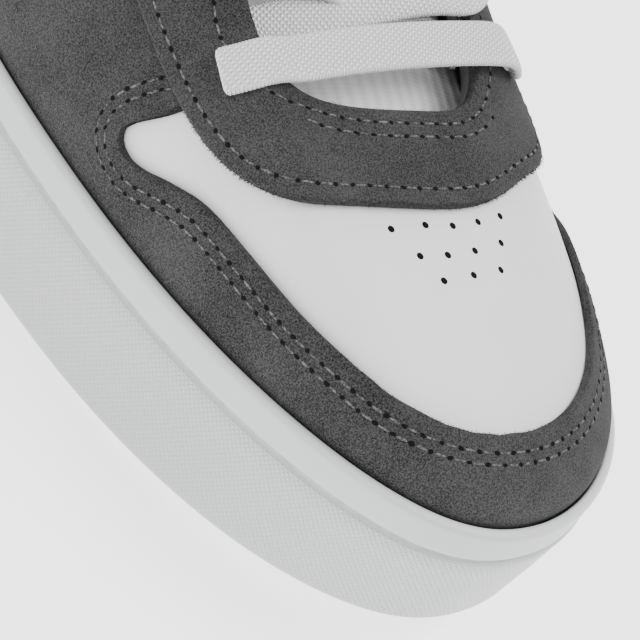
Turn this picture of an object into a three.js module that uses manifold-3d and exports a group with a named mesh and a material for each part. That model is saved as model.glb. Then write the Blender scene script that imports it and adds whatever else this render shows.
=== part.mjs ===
// A low skateboarding shoe for the right foot, in millimetres: +X to the toe, +Y to the inner side, +Z up.
// The shoe stands empty on its sole, with the floor at z = 0.
// Every piece comes from one function, skin(), the surface of the lasted upper. It runs round the shoe
// by station and up the wall by height, and a lift moves it in or out along its normal.

import * as THREE from 'three';
import { mergeVertices } from 'three/addons/utils/BufferGeometryUtils.js';
import Module from 'manifold-3d';

const wasm = await Module();
wasm.setup();

// Driving sizes
const LENGTH = 298; // outsole, heel to toe
const BALL_WIDTH = 104; // outsole at the ball of the foot
const INSTEP_RISE = 69; // top of the eyestay above the sidewall
const HEEL_RISE = 52; // top line at the heel above the sidewall
const SIDE_HEIGHT = 27.8; // rubber sidewall at the forefoot
const HEEL_LIFT = 4.2; // how much taller the sidewall is at the heel
const TOE_SPRING = 9.6; // floor to the underside of the toe
const HEEL_SPRING = 1.6;
const ARCH_RISE = 1.6; // floor to the underside of the arch
const BED_HEIGHT = 10; // floor to the footbed at the forefoot
const BED_LIFT = 6; // how much higher the footbed is at the heel

// Walls and clearances
const GAP = 0.3;
const SUEDE = 1.3;
const SHELL_WALL = 2.2;
const OVERLAY_STEP = 0.8; // how far eyestay and heel counter stand above the suede beside them
const CUP_TAPER = 3; // how far the cup narrows from its lip to the footbed
const CUP_ROUND = 1;
const INSOLE_THICKNESS = 4;
const PAD_THICKNESS = 7;
const PAD_RISE = 2.2;
const TONGUE_THICKNESS = 5;
const SUEDE_TUCK = 0.3; // share of the cup's depth that the suede reaches down behind the lip

// Sidewall of the sole
const BAND_OUT = 2.2; // rubber outside the suede
const UPPER_BAND = 6.6;
const SEAM_DEPTH = 0.8;
const SEAM_HALF = 0.5;
const LOWER_BAND_STEP = 0.25; // how far the patterned band stands out under the seam
const LIP_ROUND = 1.2;
const EDGE_ROUND = 1.6;
const TREAD_DEPTH = 1.8;
const TREAD_WIDTH = 2.4;
const TREAD_PITCH = 10;
const TREAD_MARGIN = 9;

// Laces and eyelets
const EYELET_RADIUS = 2.2;
const LACE_WIDTH = 8.3;
const LACE_THICKNESS = 1.8;
const LACE_BOW = 0.7;
const BAR_BOW = 1.1;
const WALK_STEP = 2.5;

// The last, one row a station, clockwise from above, starting at the toe.
// along, across: suede at the lip. lean, rise: the handle above it. topAlong, topAcross, top: the edge of
// the opening. backAlong, backAcross, drop: the handle before that edge. flare: how much wider the sole is
// at the floor. stay: height share of the eyestay's outer edge.
// Lengths are shares of LENGTH along, of BALL_WIDTH across and of the named rise upwards.
const COLUMNS = ['along', 'across', 'lean', 'rise', 'topAlong', 'topAcross', 'top',
  'backAlong', 'backAcross', 'drop', 'flare', 'stay'];
const LAST = [
  ['toe tip', INSTEP_RISE, 0.493, -0.014, 0.005, 0.167, 0.2745, -0.016,
    0.455, 0.104, 0, 0.101, -0.08, 0.816],
  ['outer toe corner', INSTEP_RISE, 0.475, -0.149, 0.01, 0.167, 0.2705, -0.18,
    0.449, 0.091, -0.01, 0.101, -0.06, 0.793],
  ['outer toe side', INSTEP_RISE, 0.418, -0.262, 0.014, 0.174, 0.242, -0.2655,
    0.478, 0.074, -0.038, 0.094, 0.01, 0.664],
  ['outer vamp', INSTEP_RISE, 0.329, -0.359, 0.019, 0.217, 0.181, -0.26,
    0.548, 0.047, -0.08, 0.087, 0.05, 0.465],
  ['outer ball', INSTEP_RISE, 0.221, -0.433, 0.024, 0.275, 0.121, -0.255,
    0.655, 0.03, -0.105, 0.101, 0.07, 0.494],
  ['outer joint', INSTEP_RISE, 0.101, -0.474, 0.029, 0.333, 0.047, -0.24,
    0.783, 0.017, -0.115, 0.159, 0.08, 0.555],
  ['outer waist', INSTEP_RISE, -0.027, -0.447, 0.034, 0.362, -0.027, -0.231,
    0.899, 0, -0.106, 0.217, 0.06, 0.6],
  ['outer arch', INSTEP_RISE, -0.161, -0.392, 0.038, 0.362, -0.091, -0.24,
    0.964, -0.013, -0.077, 0.319, 0.06, 0.66],
  ['outer heel front', HEEL_RISE, -0.295, -0.37, 0.034, 0.269, -0.208, -0.317,
    0.865, -0.013, -0.024, 0.308, 0.06, 0.7],
  ['outer heel', HEEL_RISE, -0.409, -0.332, 0.038, 0.288, -0.349, -0.322,
    0.712, -0.01, -0.005, 0.269, 0.04, 0.7],
  ['outer heel corner', HEEL_RISE, -0.47, -0.197, 0.038, 0.308, -0.446, -0.173,
    0.865, -0.003, 0.005, 0.308, 0.01, 0.7],
  ['heel back', HEEL_RISE, -0.489, -0.019, 0.043, 0.346, -0.475, -0.019,
    1, -0.005, 0, 0.346, 0, 0.7],
  ['inner heel corner', HEEL_RISE, -0.47, 0.154, 0.038, 0.308, -0.448, 0.135,
    0.885, -0.003, -0.005, 0.308, 0.01, 0.7],
  ['inner heel', HEEL_RISE, -0.411, 0.284, 0.038, 0.288, -0.349, 0.274,
    0.75, -0.01, 0.005, 0.269, 0.04, 0.7],
  ['inner heel front', HEEL_RISE, -0.295, 0.332, 0.034, 0.269, -0.208, 0.274,
    0.904, -0.013, 0.024, 0.308, 0.04, 0.7],
  ['inner arch', INSTEP_RISE, -0.161, 0.333, 0.038, 0.362, -0.084, 0.207,
    0.978, -0.013, 0.077, 0.319, 0.05, 0.66],
  ['inner waist', INSTEP_RISE, -0.027, 0.38, 0.034, 0.362, -0.027, 0.183,
    0.913, 0, 0.115, 0.217, 0.06, 0.6],
  ['inner joint', INSTEP_RISE, 0.101, 0.431, 0.021, 0.319, 0.047, 0.183,
    0.794, 0.017, 0.106, 0.188, 0.06, 0.555],
  ['inner ball', INSTEP_RISE, 0.221, 0.448, 0.01, 0.174, 0.121, 0.183,
    0.659, 0.03, 0.106, 0.138, 0.06, 0.51],
  ['inner vamp', INSTEP_RISE, 0.329, 0.427, 0.012, 0.145, 0.185, 0.178,
    0.551, 0.047, 0.087, 0.101, 0.03, 0.555],
  ['inner toe side', INSTEP_RISE, 0.413, 0.35, 0.004, 0.123, 0.235, 0.161,
    0.493, 0.074, 0.048, 0.101, -0.01, 0.722],
  ['inner toe corner', INSTEP_RISE, 0.473, 0.171, 0.006, 0.145, 0.267, 0.098,
    0.457, 0.091, 0.014, 0.101, -0.06, 0.805],
];
const STATIONS = LAST.length;
const HEEL = STATIONS / 2;

// White window of the vamp in the suede, as [station, height share], from the toe round both tails.
const WINDOW = [
  [0, 0.342], [0.65, 0.336], [1.25, 0.342], [1.75, 0.356], [2.2, 0.35], [2.6, 0.347], [2.94, 0.334],
  [3.12, 0.314], [3.28, 0.282], [3.43, 0.248], [3.57, 0.212], [3.69, 0.192], [3.77, 0.2], [3.79, 0.225],
  [3.77, 0.257], [3.71, 0.298], [3.61, 0.352], [3.5, 0.403], [3.4, 0.438], [3.3, 0.5], [3.2, 0.6],
  [2, 0.8], [0, 0.9], [-2, 0.85],
  [-3.2, 0.65], [-3.44, 0.45], [-3.56, 0.39], [-3.64, 0.34], [-3.66, 0.29], [-3.58, 0.262], [-3.42, 0.275],
  [-3.2, 0.315], [-2.9, 0.36], [-2.5, 0.388], [-2.1, 0.385], [-1.7, 0.366], [-1.25, 0.358], [-0.7, 0.352],
];

// Eyelets, from the toe up, on both sides: station and height share of the hole, and the stations where the
// lace crosses the edge of the opening, over the eyestay and then under it.
const EYELETS = [
  { outer: [2.72, 0.74, 1.45, 2.45], inner: [-2.95, 0.77, -1.95, -2.4] },
  { outer: [3.62, 0.76, 3, 3.2], inner: [-3.68, 0.79, -2.8, -3.37] },
  { outer: [4.35, 0.79, 4, 4.18], inner: [-4.42, 0.8, -4.06, -4.26] },
  { outer: [5.05, 0.81, 4.83, 5], inner: [-5.12, 0.82, -4.9, -5.08] },
  { outer: [5.75, 0.82, 5.63, 5.78], inner: [-5.8, 0.83, -5.67, -5.84] },
  { outer: [6.4, 0.84, 6.41, 6.41], inner: [-6.42, 0.85, -6.44, -6.44] },
];
const STAY_END = 7.1;
const COUNTER_END = 1.7; // stations each side of the heel
const COUNTER_TOP = 0.68;
const PAD_END = 10 / 3;

// Tongue inside the opening: station, and how far its middle stands up as a share of TONGUE_CROWN.
const TONGUE_CROWN = 6.5;
const TONGUE_TUCK = 0.25; // height share that it reaches under the eyestay
const TONGUE_IN = [[0, 0], [0.7, 0], [1.4, 0.1], [2, 0.25], [2.7, 0.5], [3.5, 0.8], [4.3, 1], [5.1, 1],
  [5.7, 1], [6.2, 1]];
// Tongue above the eyestay: along of LENGTH, height of INSTEP_RISE above the sidewall, half width of
// BALL_WIDTH, and crown as above.
const TONGUE_OUT = [[-0.098, 1, 0.165, 0.6], [-0.117, 1.08, 0.22, 1], [-0.138, 1.17, 0.27, 1.4],
  [-0.157, 1.26, 0.29, 1.6], [-0.171, 1.34, 0.28, 1.6], [-0.18, 1.39, 0.24, 1.3], [-0.185, 1.415, 0.16, 0.7]];

// Shared maths

function ease(x, from, to) {
  const t = THREE.MathUtils.clamp((x - from) / (to - from), 0, 1);
  return t * t * (3 - 2 * t);
}

const springStart = 0.225 * LENGTH;
const heelSpringStart = -0.42 * LENGTH;

function toeSpring(x) {
  const t = Math.max(0, (x - springStart) / (LENGTH / 2 - springStart));
  return TOE_SPRING * t * t;
}

function bottomHeight(x) {
  const back = Math.max(0, (heelSpringStart - x) / (LENGTH / 2 + heelSpringStart));
  const arch = ease(x, -0.16 * LENGTH, -0.11 * LENGTH) * (1 - ease(x, -0.06 * LENGTH, 0));
  return toeSpring(x) + HEEL_SPRING * back * back + ARCH_RISE * arch;
}

function sideTop(x) {
  return SIDE_HEIGHT + HEEL_LIFT * ease(x, 0.134 * LENGTH, -0.42 * LENGTH) + 0.75 * toeSpring(x);
}

function bedHeight(x) {
  return BED_HEIGHT + BED_LIFT * ease(x, 0.134 * LENGTH, -0.37 * LENGTH) + 0.95 * toeSpring(x);
}

// Rows in millimetres
const sections = LAST.map(([, rise, ...values]) => {
  const row = Object.fromEntries(COLUMNS.map((name, i) => [name, values[i]]));
  for (const name of ['along', 'topAlong', 'backAlong']) row[name] *= LENGTH;
  for (const name of ['across', 'topAcross', 'backAcross', 'lean']) row[name] *= BALL_WIDTH;
  for (const name of ['rise', 'top', 'drop']) row[name] *= rise;
  row.flare *= SIDE_HEIGHT;
  return row;
});

// Control values of the closed cubic B-spline that runs through every row.
function settle(rows) {
  const controls = rows.map((row) => ({ ...row }));
  for (let pass = 0; pass < 40; pass++) {
    rows.forEach((row, i) => {
      const before = controls[(i + STATIONS - 1) % STATIONS];
      const after = controls[(i + 1) % STATIONS];
      for (const name of COLUMNS) controls[i][name] = (6 * row[name] - before[name] - after[name]) / 4;
    });
  }
  return controls;
}
const controls = settle(sections);

function sectionAt(station) {
  const s = THREE.MathUtils.euclideanModulo(station, STATIONS);
  const i = Math.floor(s);
  const u = s - i;
  const weights = [(1 - u) ** 3, 3 * u ** 3 - 6 * u ** 2 + 4, -3 * u ** 3 + 3 * u ** 2 + 3 * u + 1, u ** 3];
  const section = {};
  for (const name of COLUMNS) {
    section[name] = 0;
    weights.forEach((weight, k) => {
      section[name] += weight * controls[(i + k - 1 + STATIONS) % STATIONS][name] / 6;
    });
  }
  return section;
}

const NUDGE = 0.01;

function planNormal(s) {
  const a = sectionAt(s - NUDGE);
  const b = sectionAt(s + NUDGE);
  return new THREE.Vector3(a.across - b.across, b.along - a.along, 0).normalize();
}

// A point of the last's surface. Height share 0 is the sole's lip, 1 the edge of the opening and -1 the
// footbed, down inside the cup.
function surface(s, t) {
  const row = sectionAt(s);
  const out = planNormal(s);
  const foot = new THREE.Vector3(row.along, row.across, sideTop(row.along));
  if (t <= 0) {
    const depth = foot.z - bedHeight(row.along) - GAP;
    return foot.addScaledVector(out, CUP_TAPER * t).add(new THREE.Vector3(0, 0, depth * t));
  }
  const top = new THREE.Vector3(row.topAlong, row.topAcross, row.top + sideTop(row.topAlong));
  const side = foot.clone().addScaledVector(out, row.lean);
  side.z += row.rise;
  const shoulder = top.clone().add(new THREE.Vector3(row.backAlong, row.backAcross, -row.drop));
  return new THREE.CubicBezierCurve3(foot, side, shoulder, top).getPoint(t);
}

function surfaceNormal(s, t) {
  const round = surface(s + NUDGE, t).sub(surface(s - NUDGE, t));
  const up = surface(s, Math.min(t + NUDGE, 1)).sub(surface(s, Math.max(t - NUDGE, -1)));
  return up.cross(round).normalize();
}

function skin(s, t, lift) {
  return surface(s, t).addScaledVector(surfaceNormal(s, t), lift);
}

// A point beside the lip: out from the suede, at a height above the floor.
function besideLip(s, out, height) {
  const row = sectionAt(s);
  const point = new THREE.Vector3(row.along, row.across, 0).addScaledVector(planNormal(s), out);
  point.z = height(row);
  return point;
}

// Lifts of the layers, measured from the suede's outer face
const shellOutside = -(SUEDE + GAP);
const shellInside = shellOutside - SHELL_WALL;
const lining = shellInside - GAP;
const overlayOutside = OVERLAY_STEP;

// Mesh helpers

function solidOf(geometry) {
  const merged = mergeVertices(geometry, 1e-3);
  const triangles = [];
  const index = merged.index.array;
  for (let i = 0; i < index.length; i += 3) {
    const [a, b, c] = [index[i], index[i + 1], index[i + 2]];
    if (a !== b && b !== c && c !== a) triangles.push(a, b, c);
  }
  return new wasm.Manifold(new wasm.Mesh({
    numProp: 3,
    vertProperties: new Float32Array(merged.attributes.position.array),
    triVerts: new Uint32Array(triangles),
  }));
}

function solidOfTriangles(points) {
  let volume = 0;
  for (let i = 0; i < points.length; i += 3) {
    volume += points[i].dot(new THREE.Vector3().crossVectors(points[i + 1], points[i + 2]));
  }
  const facing = volume < 0 ? points.reverse() : points;
  return solidOf(new THREE.BufferGeometry().setFromPoints(facing));
}

function quads(rows, flip) {
  const points = [];
  for (let i = 0; i + 1 < rows.length; i++) {
    for (let j = 0; j + 1 < rows[i].length; j++) {
      const [a, b, c, d] = [rows[i][j], rows[i][j + 1], rows[i + 1][j + 1], rows[i + 1][j]];
      if (flip) points.push(a, c, b, a, d, c);
      else points.push(a, b, c, a, c, d);
    }
  }
  return points;
}

// A solid between two sheets of as many rows. Its rows close on themselves, or end in a wall, or end in a
// fold that needs no wall. Walled sheets have as many columns as each other too.
function slab(outer, inner, ends) {
  const [top, under] = ends === 'closed' ? [[...outer, outer[0]], [...inner, inner[0]]] : [outer, inner];
  const points = [...quads(top, false), ...quads(under, true)];
  points.push(...quads(top.map((row, i) => [under[i][0], row[0]]), false));
  points.push(...quads(top.map((row, i) => [row.at(-1), under[i].at(-1)]), false));
  if (ends === 'walled') {
    const n = top.length - 1;
    points.push(...quads([under[0], top[0]], false));
    points.push(...quads([top[n], under[n]], false));
  }
  return solidOfTriangles(points);
}

function range(from, to, steps) {
  return Array.from({ length: steps + 1 }, (_, i) => from + (to - from) * i / steps);
}

// A layer of the upper between two lifts, from a low to a high height share at each station.
function layer(stations, low, high, shares, outside, inside, ends) {
  const height = (s, u) => low(s) + (high(s) - low(s)) * u;
  const sheet = (lift) => stations.map((s) => shares.map((u) => skin(s, height(s, u), lift)));
  return slab(sheet(outside), sheet(inside), ends);
}

// The rungs of a ladder across the shoe, between the same station on both sides.
function rung(s, edge, columns, height) {
  const outer = edge(s);
  const inner = edge(-s);
  return range(0, 1, columns).map((u) => {
    const point = outer.clone().lerp(inner, u);
    if (height) point.z = height(point.x, u);
    return point;
  });
}

const group = new THREE.Group();

function addPiece(name, solid, colour, roughness) {
  const mesh = solid.getMesh();
  const geometry = new THREE.BufferGeometry();
  geometry.setAttribute('position', new THREE.BufferAttribute(new Float32Array(mesh.vertProperties), 3));
  geometry.setIndex(new THREE.BufferAttribute(new Uint32Array(mesh.triVerts), 1));
  geometry.computeVertexNormals();
  const material = new THREE.MeshStandardMaterial({ color: colour, roughness, metalness: 0 });
  const piece = new THREE.Mesh(geometry, material);
  piece.name = name;
  group.add(piece);
}

const STEPS = 3; // mesh columns from one station to the next
const ringStations = range(0, STATIONS, STATIONS * STEPS).slice(0, -1);
const ladderStations = range(0, HEEL, HEEL * STEPS);

// Cupsole

function sideProfile(s) {
  const floor = (row) => bottomHeight(row.along);
  const seam = (row) => sideTop(row.along) - UPPER_BAND;
  const row = sectionAt(s);
  const wide = BAND_OUT + row.flare;
  const between = (share) => (r) => floor(r) + (seam(r) - floor(r)) * share;
  return [
    besideLip(s, GAP, (r) => sideTop(r.along) - 0.5 * LIP_ROUND),
    besideLip(s, BAND_OUT - LIP_ROUND, (r) => sideTop(r.along)),
    besideLip(s, BAND_OUT - 0.3 * LIP_ROUND, (r) => sideTop(r.along) - 0.3 * LIP_ROUND),
    besideLip(s, BAND_OUT, (r) => sideTop(r.along) - LIP_ROUND),
    besideLip(s, BAND_OUT, (r) => seam(r) + SEAM_HALF),
    besideLip(s, BAND_OUT - SEAM_DEPTH, (r) => seam(r)),
    besideLip(s, BAND_OUT + LOWER_BAND_STEP, (r) => seam(r) - SEAM_HALF),
    besideLip(s, BAND_OUT + LOWER_BAND_STEP + 0.55 * row.flare, between(0.5)),
    besideLip(s, wide, (r) => floor(r) + EDGE_ROUND),
    besideLip(s, wide - 0.3 * EDGE_ROUND, (r) => floor(r) + 0.3 * EDGE_ROUND),
    besideLip(s, wide - EDGE_ROUND, floor),
  ];
}

function cupProfile(s) {
  const taper = (share) => (r) => sideTop(r.along) + (bedHeight(r.along) - sideTop(r.along)) * share;
  return [
    besideLip(s, GAP, taper(0.12)),
    besideLip(s, GAP - CUP_TAPER, (r) => bedHeight(r.along) + GAP),
    besideLip(s, GAP - CUP_TAPER - CUP_ROUND, (r) => bedHeight(r.along)),
  ];
}

function soleRow(s, profile, columns, height) {
  const outer = profile(s);
  const inner = profile(-s);
  const end = outer.length - 1;
  const across = rung(s, (side) => profile(side)[end], columns, (x) => height(x)).slice(1, -1);
  return [...outer, ...across, ...inner.reverse()];
}

function tread(solid) {
  let cut = solid;
  const zones = [[0.012, 0.24], [-0.42, -0.2]];
  for (const [from, to] of zones) {
    for (let x = from * LENGTH; x < to * LENGTH; x += TREAD_PITCH) {
      const sides = [...ladderStations].sort((a, b) => (
        Math.abs(sectionAt(a).along - x) - Math.abs(sectionAt(b).along - x)));
      const low = sectionAt(sides[0]).across + TREAD_MARGIN;
      const high = sectionAt(-sides[0]).across - TREAD_MARGIN;
      const bar = new THREE.BoxGeometry(TREAD_WIDTH, high - low, 2 * TREAD_DEPTH);
      bar.translate(x, (high + low) / 2, bottomHeight(x));
      bar.deleteAttribute('normal');
      bar.deleteAttribute('uv');
      cut = cut.subtract(solidOf(bar));
    }
  }
  return cut;
}

function cupsole() {
  const outer = ladderStations.map((s) => soleRow(s, sideProfile, 2, bottomHeight));
  const inner = ladderStations.map((s) => soleRow(s, cupProfile, 4, bedHeight));
  return tread(slab(outer, inner, 'folded'));
}

addPiece('cupsole', cupsole(), 0xd2d5d6, 0.6);

// Insole, loose in the cup

function insole() {
  const edge = (s) => skin(s, -1, lining);
  const sheet = (rise) => ladderStations.map((s) => rung(s, edge, 4, (x) => bedHeight(x) + GAP + rise));
  return slab(sheet(INSOLE_THICKNESS), sheet(0), 'folded');
}

addPiece('insole', insole(), 0x8a8d90, 0.9);

// Upper: one lasted shell, with an eyelet hole every pair of stations

const WALL_HEIGHTS = [-1, 0, 0.1, 0.22, 0.36, 0.5, 0.64, 0.78, 0.89, 1];

function punch(solid) {
  let cut = solid;
  for (const pair of EYELETS) {
    for (const [s, t] of [pair.outer, pair.inner]) {
      const drill = new THREE.CylinderGeometry(EYELET_RADIUS, EYELET_RADIUS, 4 * SHELL_WALL + 4 * SUEDE, 8);
      drill.applyQuaternion(new THREE.Quaternion().setFromUnitVectors(
        new THREE.Vector3(0, 1, 0), surfaceNormal(s, t)));
      const place = skin(s, t, shellOutside);
      drill.translate(place.x, place.y, place.z);
      drill.deleteAttribute('normal');
      drill.deleteAttribute('uv');
      cut = cut.subtract(solidOf(drill));
    }
  }
  return cut;
}

function upper() {
  const shares = WALL_HEIGHTS.map((t) => (t + 1) / 2);
  return punch(layer(ringStations, () => -1, () => 1, shares, shellOutside, shellInside, 'closed'));
}

addPiece('upper', upper(), 0xdcdedf, 0.55);

// Suede panels, cut between two lifts of the same wall

function heightShare(s, distance) {
  return distance / surface(s, 0).distanceTo(surface(s, 1));
}

function stationShare(s, distance) {
  return distance / surface(s - 0.5, 0.5).distanceTo(surface(s + 0.5, 0.5));
}

const panelInside = shellOutside + GAP;
const panelShares = range(0, 1, 6);

// A closed plug through the wall over an outline of stations and height shares.
function plug(outline, outside, inside) {
  const middle = [0, 0.6];
  const rings = range(0, 1, 6).map((u) => outline.map(([s, t]) => (
    [middle[0] + (s - middle[0]) * u, middle[1] + (t - middle[1]) * u])));
  const sheet = (lift) => outline.map((_, k) => rings.map((ring) => skin(ring[k][0], ring[k][1], lift)));
  return slab(sheet(outside), sheet(inside), 'closed');
}

function suede() {
  const turnEnd = STAY_END + stationShare(STAY_END, 2 * GAP);
  const counterEnd = HEEL - COUNTER_END - stationShare(HEEL - COUNTER_END, GAP);
  const jump = stationShare(STAY_END, 2 * GAP);
  const breaks = [turnEnd, turnEnd + jump, counterEnd - jump, counterEnd];
  const away = (s) => Math.min(...breaks.map((b) => Math.abs(b - Math.min(s, STATIONS - s))));
  const stations = [...ringStations.filter((s) => away(s) > 2 * jump), ...breaks,
    ...breaks.map((s) => STATIONS - s)].sort((a, b) => a - b);
  const side = (s) => Math.min(s, STATIONS - s);
  const low = (s) => (side(s) > counterEnd - jump / 2 ? COUNTER_TOP + heightShare(s, GAP) : -SUEDE_TUCK);
  const high = (s) => (side(s) < turnEnd + jump / 2 ? sectionAt(s).stay - heightShare(s, GAP) : 1);
  const wrap = layer(stations, low, high, panelShares, 0, panelInside, 'closed');
  return wrap.subtract(plug(WINDOW, 4 * SUEDE, shellInside));
}

addPiece('mudguard', suede(), 0x4b4d50, 0.95);

function eyestay() {
  const stations = [-STAY_END, ...range(-21 / STEPS, 21 / STEPS, 42), STAY_END];
  const front = (s) => sectionAt(s).stay;
  return punch(layer(stations, front, () => 1, range(0, 1, 4), overlayOutside, panelInside, 'walled'));
}

addPiece('eyestay', eyestay(), 0x47494c, 0.95);

function heelCounter() {
  const stations = range(HEEL - COUNTER_END, HEEL + COUNTER_END, 12);
  const low = (s) => heightShare(s, 3 * GAP);
  return layer(stations, low, () => COUNTER_TOP, range(0, 1, 5), overlayOutside, panelInside, 'walled');
}

addPiece('heel_counter', heelCounter(), 0x47494c, 0.95);

// Padded collar, a roll inside the top line

function collarPad() {
  const above = (s, rise, lift) => skin(s, 1, lift).add(new THREE.Vector3(0, 0, rise));
  const stations = range(HEEL - PAD_END, HEEL + PAD_END, 2 * PAD_END * STEPS);
  const outside = lining - 0.5 * GAP;
  const face = (t, depth) => (s) => skin(s, t, outside - depth * PAD_THICKNESS);
  const outer = stations.map((s) => [...WALL_HEIGHTS.slice(-4).map((t) => face(t, 0)(s)),
    above(s, PAD_RISE, outside - 0.25 * PAD_THICKNESS)]);
  const inner = stations.map((s) => [
    face(0.64, 0.2)(s), face(0.7, 0.75)(s), face(0.8, 1)(s), face(0.92, 1)(s),
    above(s, 0.7 * PAD_RISE, outside - 0.75 * PAD_THICKNESS)]);
  return slab(outer, inner, 'walled');
}

addPiece('collar_pad', collarPad(), 0x55575a, 0.95);

// Tongue

const TONGUE_COLUMNS = 8;

// Share of the crown across the tongue, flat again at both edges.
function arch(w) {
  return (1 - w * w) ** 1.5;
}

function tongue() {
  const edge = (s) => skin(s, 1 - TONGUE_TUCK, lining - LACE_THICKNESS - 3 * GAP);
  const widths = range(-1, 1, TONGUE_COLUMNS);
  const rows = TONGUE_IN.map(([s, crown]) => rung(s, edge, TONGUE_COLUMNS).map((point, j) => {
    point.z += TONGUE_CROWN * crown * arch(widths[j]);
    return point;
  }));
  const middle = rows.at(-1)[TONGUE_COLUMNS / 2].y;
  for (const [along, height, half, crown] of TONGUE_OUT) {
    const top = SIDE_HEIGHT + height * INSTEP_RISE;
    rows.push(widths.map((w) => new THREE.Vector3(
      along * LENGTH, middle + w * half * BALL_WIDTH, top - TONGUE_CROWN * crown * (1 - arch(w)))));
  }
  const under = rows.map((row, i) => {
    const before = rows[Math.max(i - 1, 0)][TONGUE_COLUMNS / 2];
    const after = rows[Math.min(i + 1, rows.length - 1)][TONGUE_COLUMNS / 2];
    const run = after.clone().sub(before).normalize();
    const down = new THREE.Vector3(run.z, 0, -run.x).multiplyScalar(-TONGUE_THICKNESS);
    return row.map((point) => point.clone().add(down));
  });
  return slab(rows, under, 'walled');
}

addPiece('tongue', tongue(), 0xe2e3e4, 0.85);

// Laces. A knot of a strand's route is a point and the direction that the ribbon's flat side faces there.

const laceOver = overlayOutside + 2 * GAP + LACE_THICKNESS / 2;
const laceUnder = lining - GAP - LACE_THICKNESS / 2;

// Stations and heights from a hole, straight in plan, to the edge of the opening at another station.
function walk([holeStation, holeHeight], edgeStation) {
  const heading = surface(edgeStation, 1).sub(surface(holeStation, holeHeight)).setZ(0).normalize();
  let [s, t] = [holeStation, holeHeight];
  const path = [[s, t]];
  while (t < 1 - NUDGE / 10) {
    const round = surface(s + NUDGE, t).sub(surface(s - NUDGE, t)).divideScalar(2 * NUDGE);
    const top = Math.min(t + NUDGE, 1);
    const up = surface(s, top).sub(surface(s, t - NUDGE)).divideScalar(top - t + NUDGE);
    const area = round.x * up.y - round.y * up.x;
    const byHeight = (round.x * heading.y - round.y * heading.x) / area;
    const byStation = (heading.x * up.y - heading.y * up.x) / area;
    const stride = Math.min(WALK_STEP, (1 - t) / byHeight);
    s += byStation * stride;
    t += byHeight * stride;
    path.push([s, t]);
  }
  return path;
}

// From behind the hole, over the eyestay, to just inside the edge.
function overStay(hole) {
  const knots = walk(hole, hole[2]).map(([s, t]) => [skin(s, t, laceOver), surfaceNormal(s, t)]);
  const [start, facing] = knots[0];
  const [edge, edgeFacing] = knots.pop();
  const back = start.clone().sub(knots[1][0]).setLength(1.2 * EYELET_RADIUS);
  const onwards = edge.clone().sub(knots.at(-1)[0]).setLength(LACE_THICKNESS);
  return [[start.clone().add(back), facing], ...knots, [edge.add(onwards), edgeFacing]];
}

// From under the eyestay to just inside the edge, on the way to the opposite hole.
function fromUnder(hole, opposite) {
  const heading = surface(opposite[2], 1).sub(surface(hole[3], 1)).setZ(0).normalize();
  const [near, edge] = walk(hole, hole[3]).slice(-2)
    .map(([s, t]) => [skin(s, t, laceUnder), surfaceNormal(s, t)]);
  return [near, [edge[0].addScaledVector(heading, LACE_THICKNESS + 2 * GAP), edge[1]]];
}

// The free part between both edges rises by rise(u) above the straight line.
function strand(start, end, rise) {
  const [from, fromFacing] = start.at(-1);
  const [to, toFacing] = end.at(-1);
  const span = range(0, 1, 6).slice(1, -1).map((u) => {
    const point = from.clone().lerp(to, u);
    point.z += rise(u);
    return [point, fromFacing.clone().lerp(toFacing, u)];
  });
  const route = [...start, ...span, ...end.slice().reverse()];
  const sheet = (height) => route.map(([point, facing], i) => {
    const after = route[Math.min(i + 1, route.length - 1)][0];
    const run = after.clone().sub(route[Math.max(i - 1, 0)][0]).normalize();
    const side = new THREE.Vector3().crossVectors(facing, run).normalize();
    const up = new THREE.Vector3().crossVectors(run, side);
    return [-0.5, 0, 0.5].map((w) => (
      point.clone().addScaledVector(side, w * LACE_WIDTH).addScaledVector(up, height)));
  });
  return slab(sheet(LACE_THICKNESS / 2), sheet(-LACE_THICKNESS / 2), 'walled');
}

const [front] = EYELETS;
const bar = strand(overStay(front.outer), overStay(front.inner), (u) => 4 * BAR_BOW * u * (1 - u));
addPiece('lace_bar', bar, 0xe8e9ea, 0.8);

EYELETS.slice(1).forEach((next, i) => {
  const here = EYELETS[i];
  const rise = (bow) => (u) => 6.75 * bow * u * u * (1 - u); // reaches bow at two thirds of the way
  const low = strand(fromUnder(here.inner, next.outer), overStay(next.outer), rise(LACE_BOW));
  const highRise = rise(LACE_BOW + LACE_THICKNESS);
  const high = strand(fromUnder(here.outer, next.inner), overStay(next.inner), highRise);
  addPiece(`lace_crossing_${i + 1}`, low.add(high), 0xe8e9ea, 0.8);
});

// The origin goes to the middle of the whole shoe's plan
const middle = new THREE.Box3().setFromObject(group).getCenter(new THREE.Vector3());
for (const piece of group.children) piece.geometry.translate(-middle.x, -middle.y, 0);

export default group;
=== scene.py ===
# %% [markdown]
# # A low skateboarding shoe, right foot
#
# A rubber cup holds a lasted leather upper. Suede panels lie over the leather, and one flat lace crosses a
# padded knit tongue. The CAD part gives every solid its place and size. This script dresses it: each piece
# follows the same surface as the CAD, only with finer rows, soft edges, stitches and materials.
# Everything is in metres, with +X to the toe, +Y to the inner side of the foot and +Z up.

import math

import bmesh
import bpy
import numpy as np
from mathutils import Matrix, Vector


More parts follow.
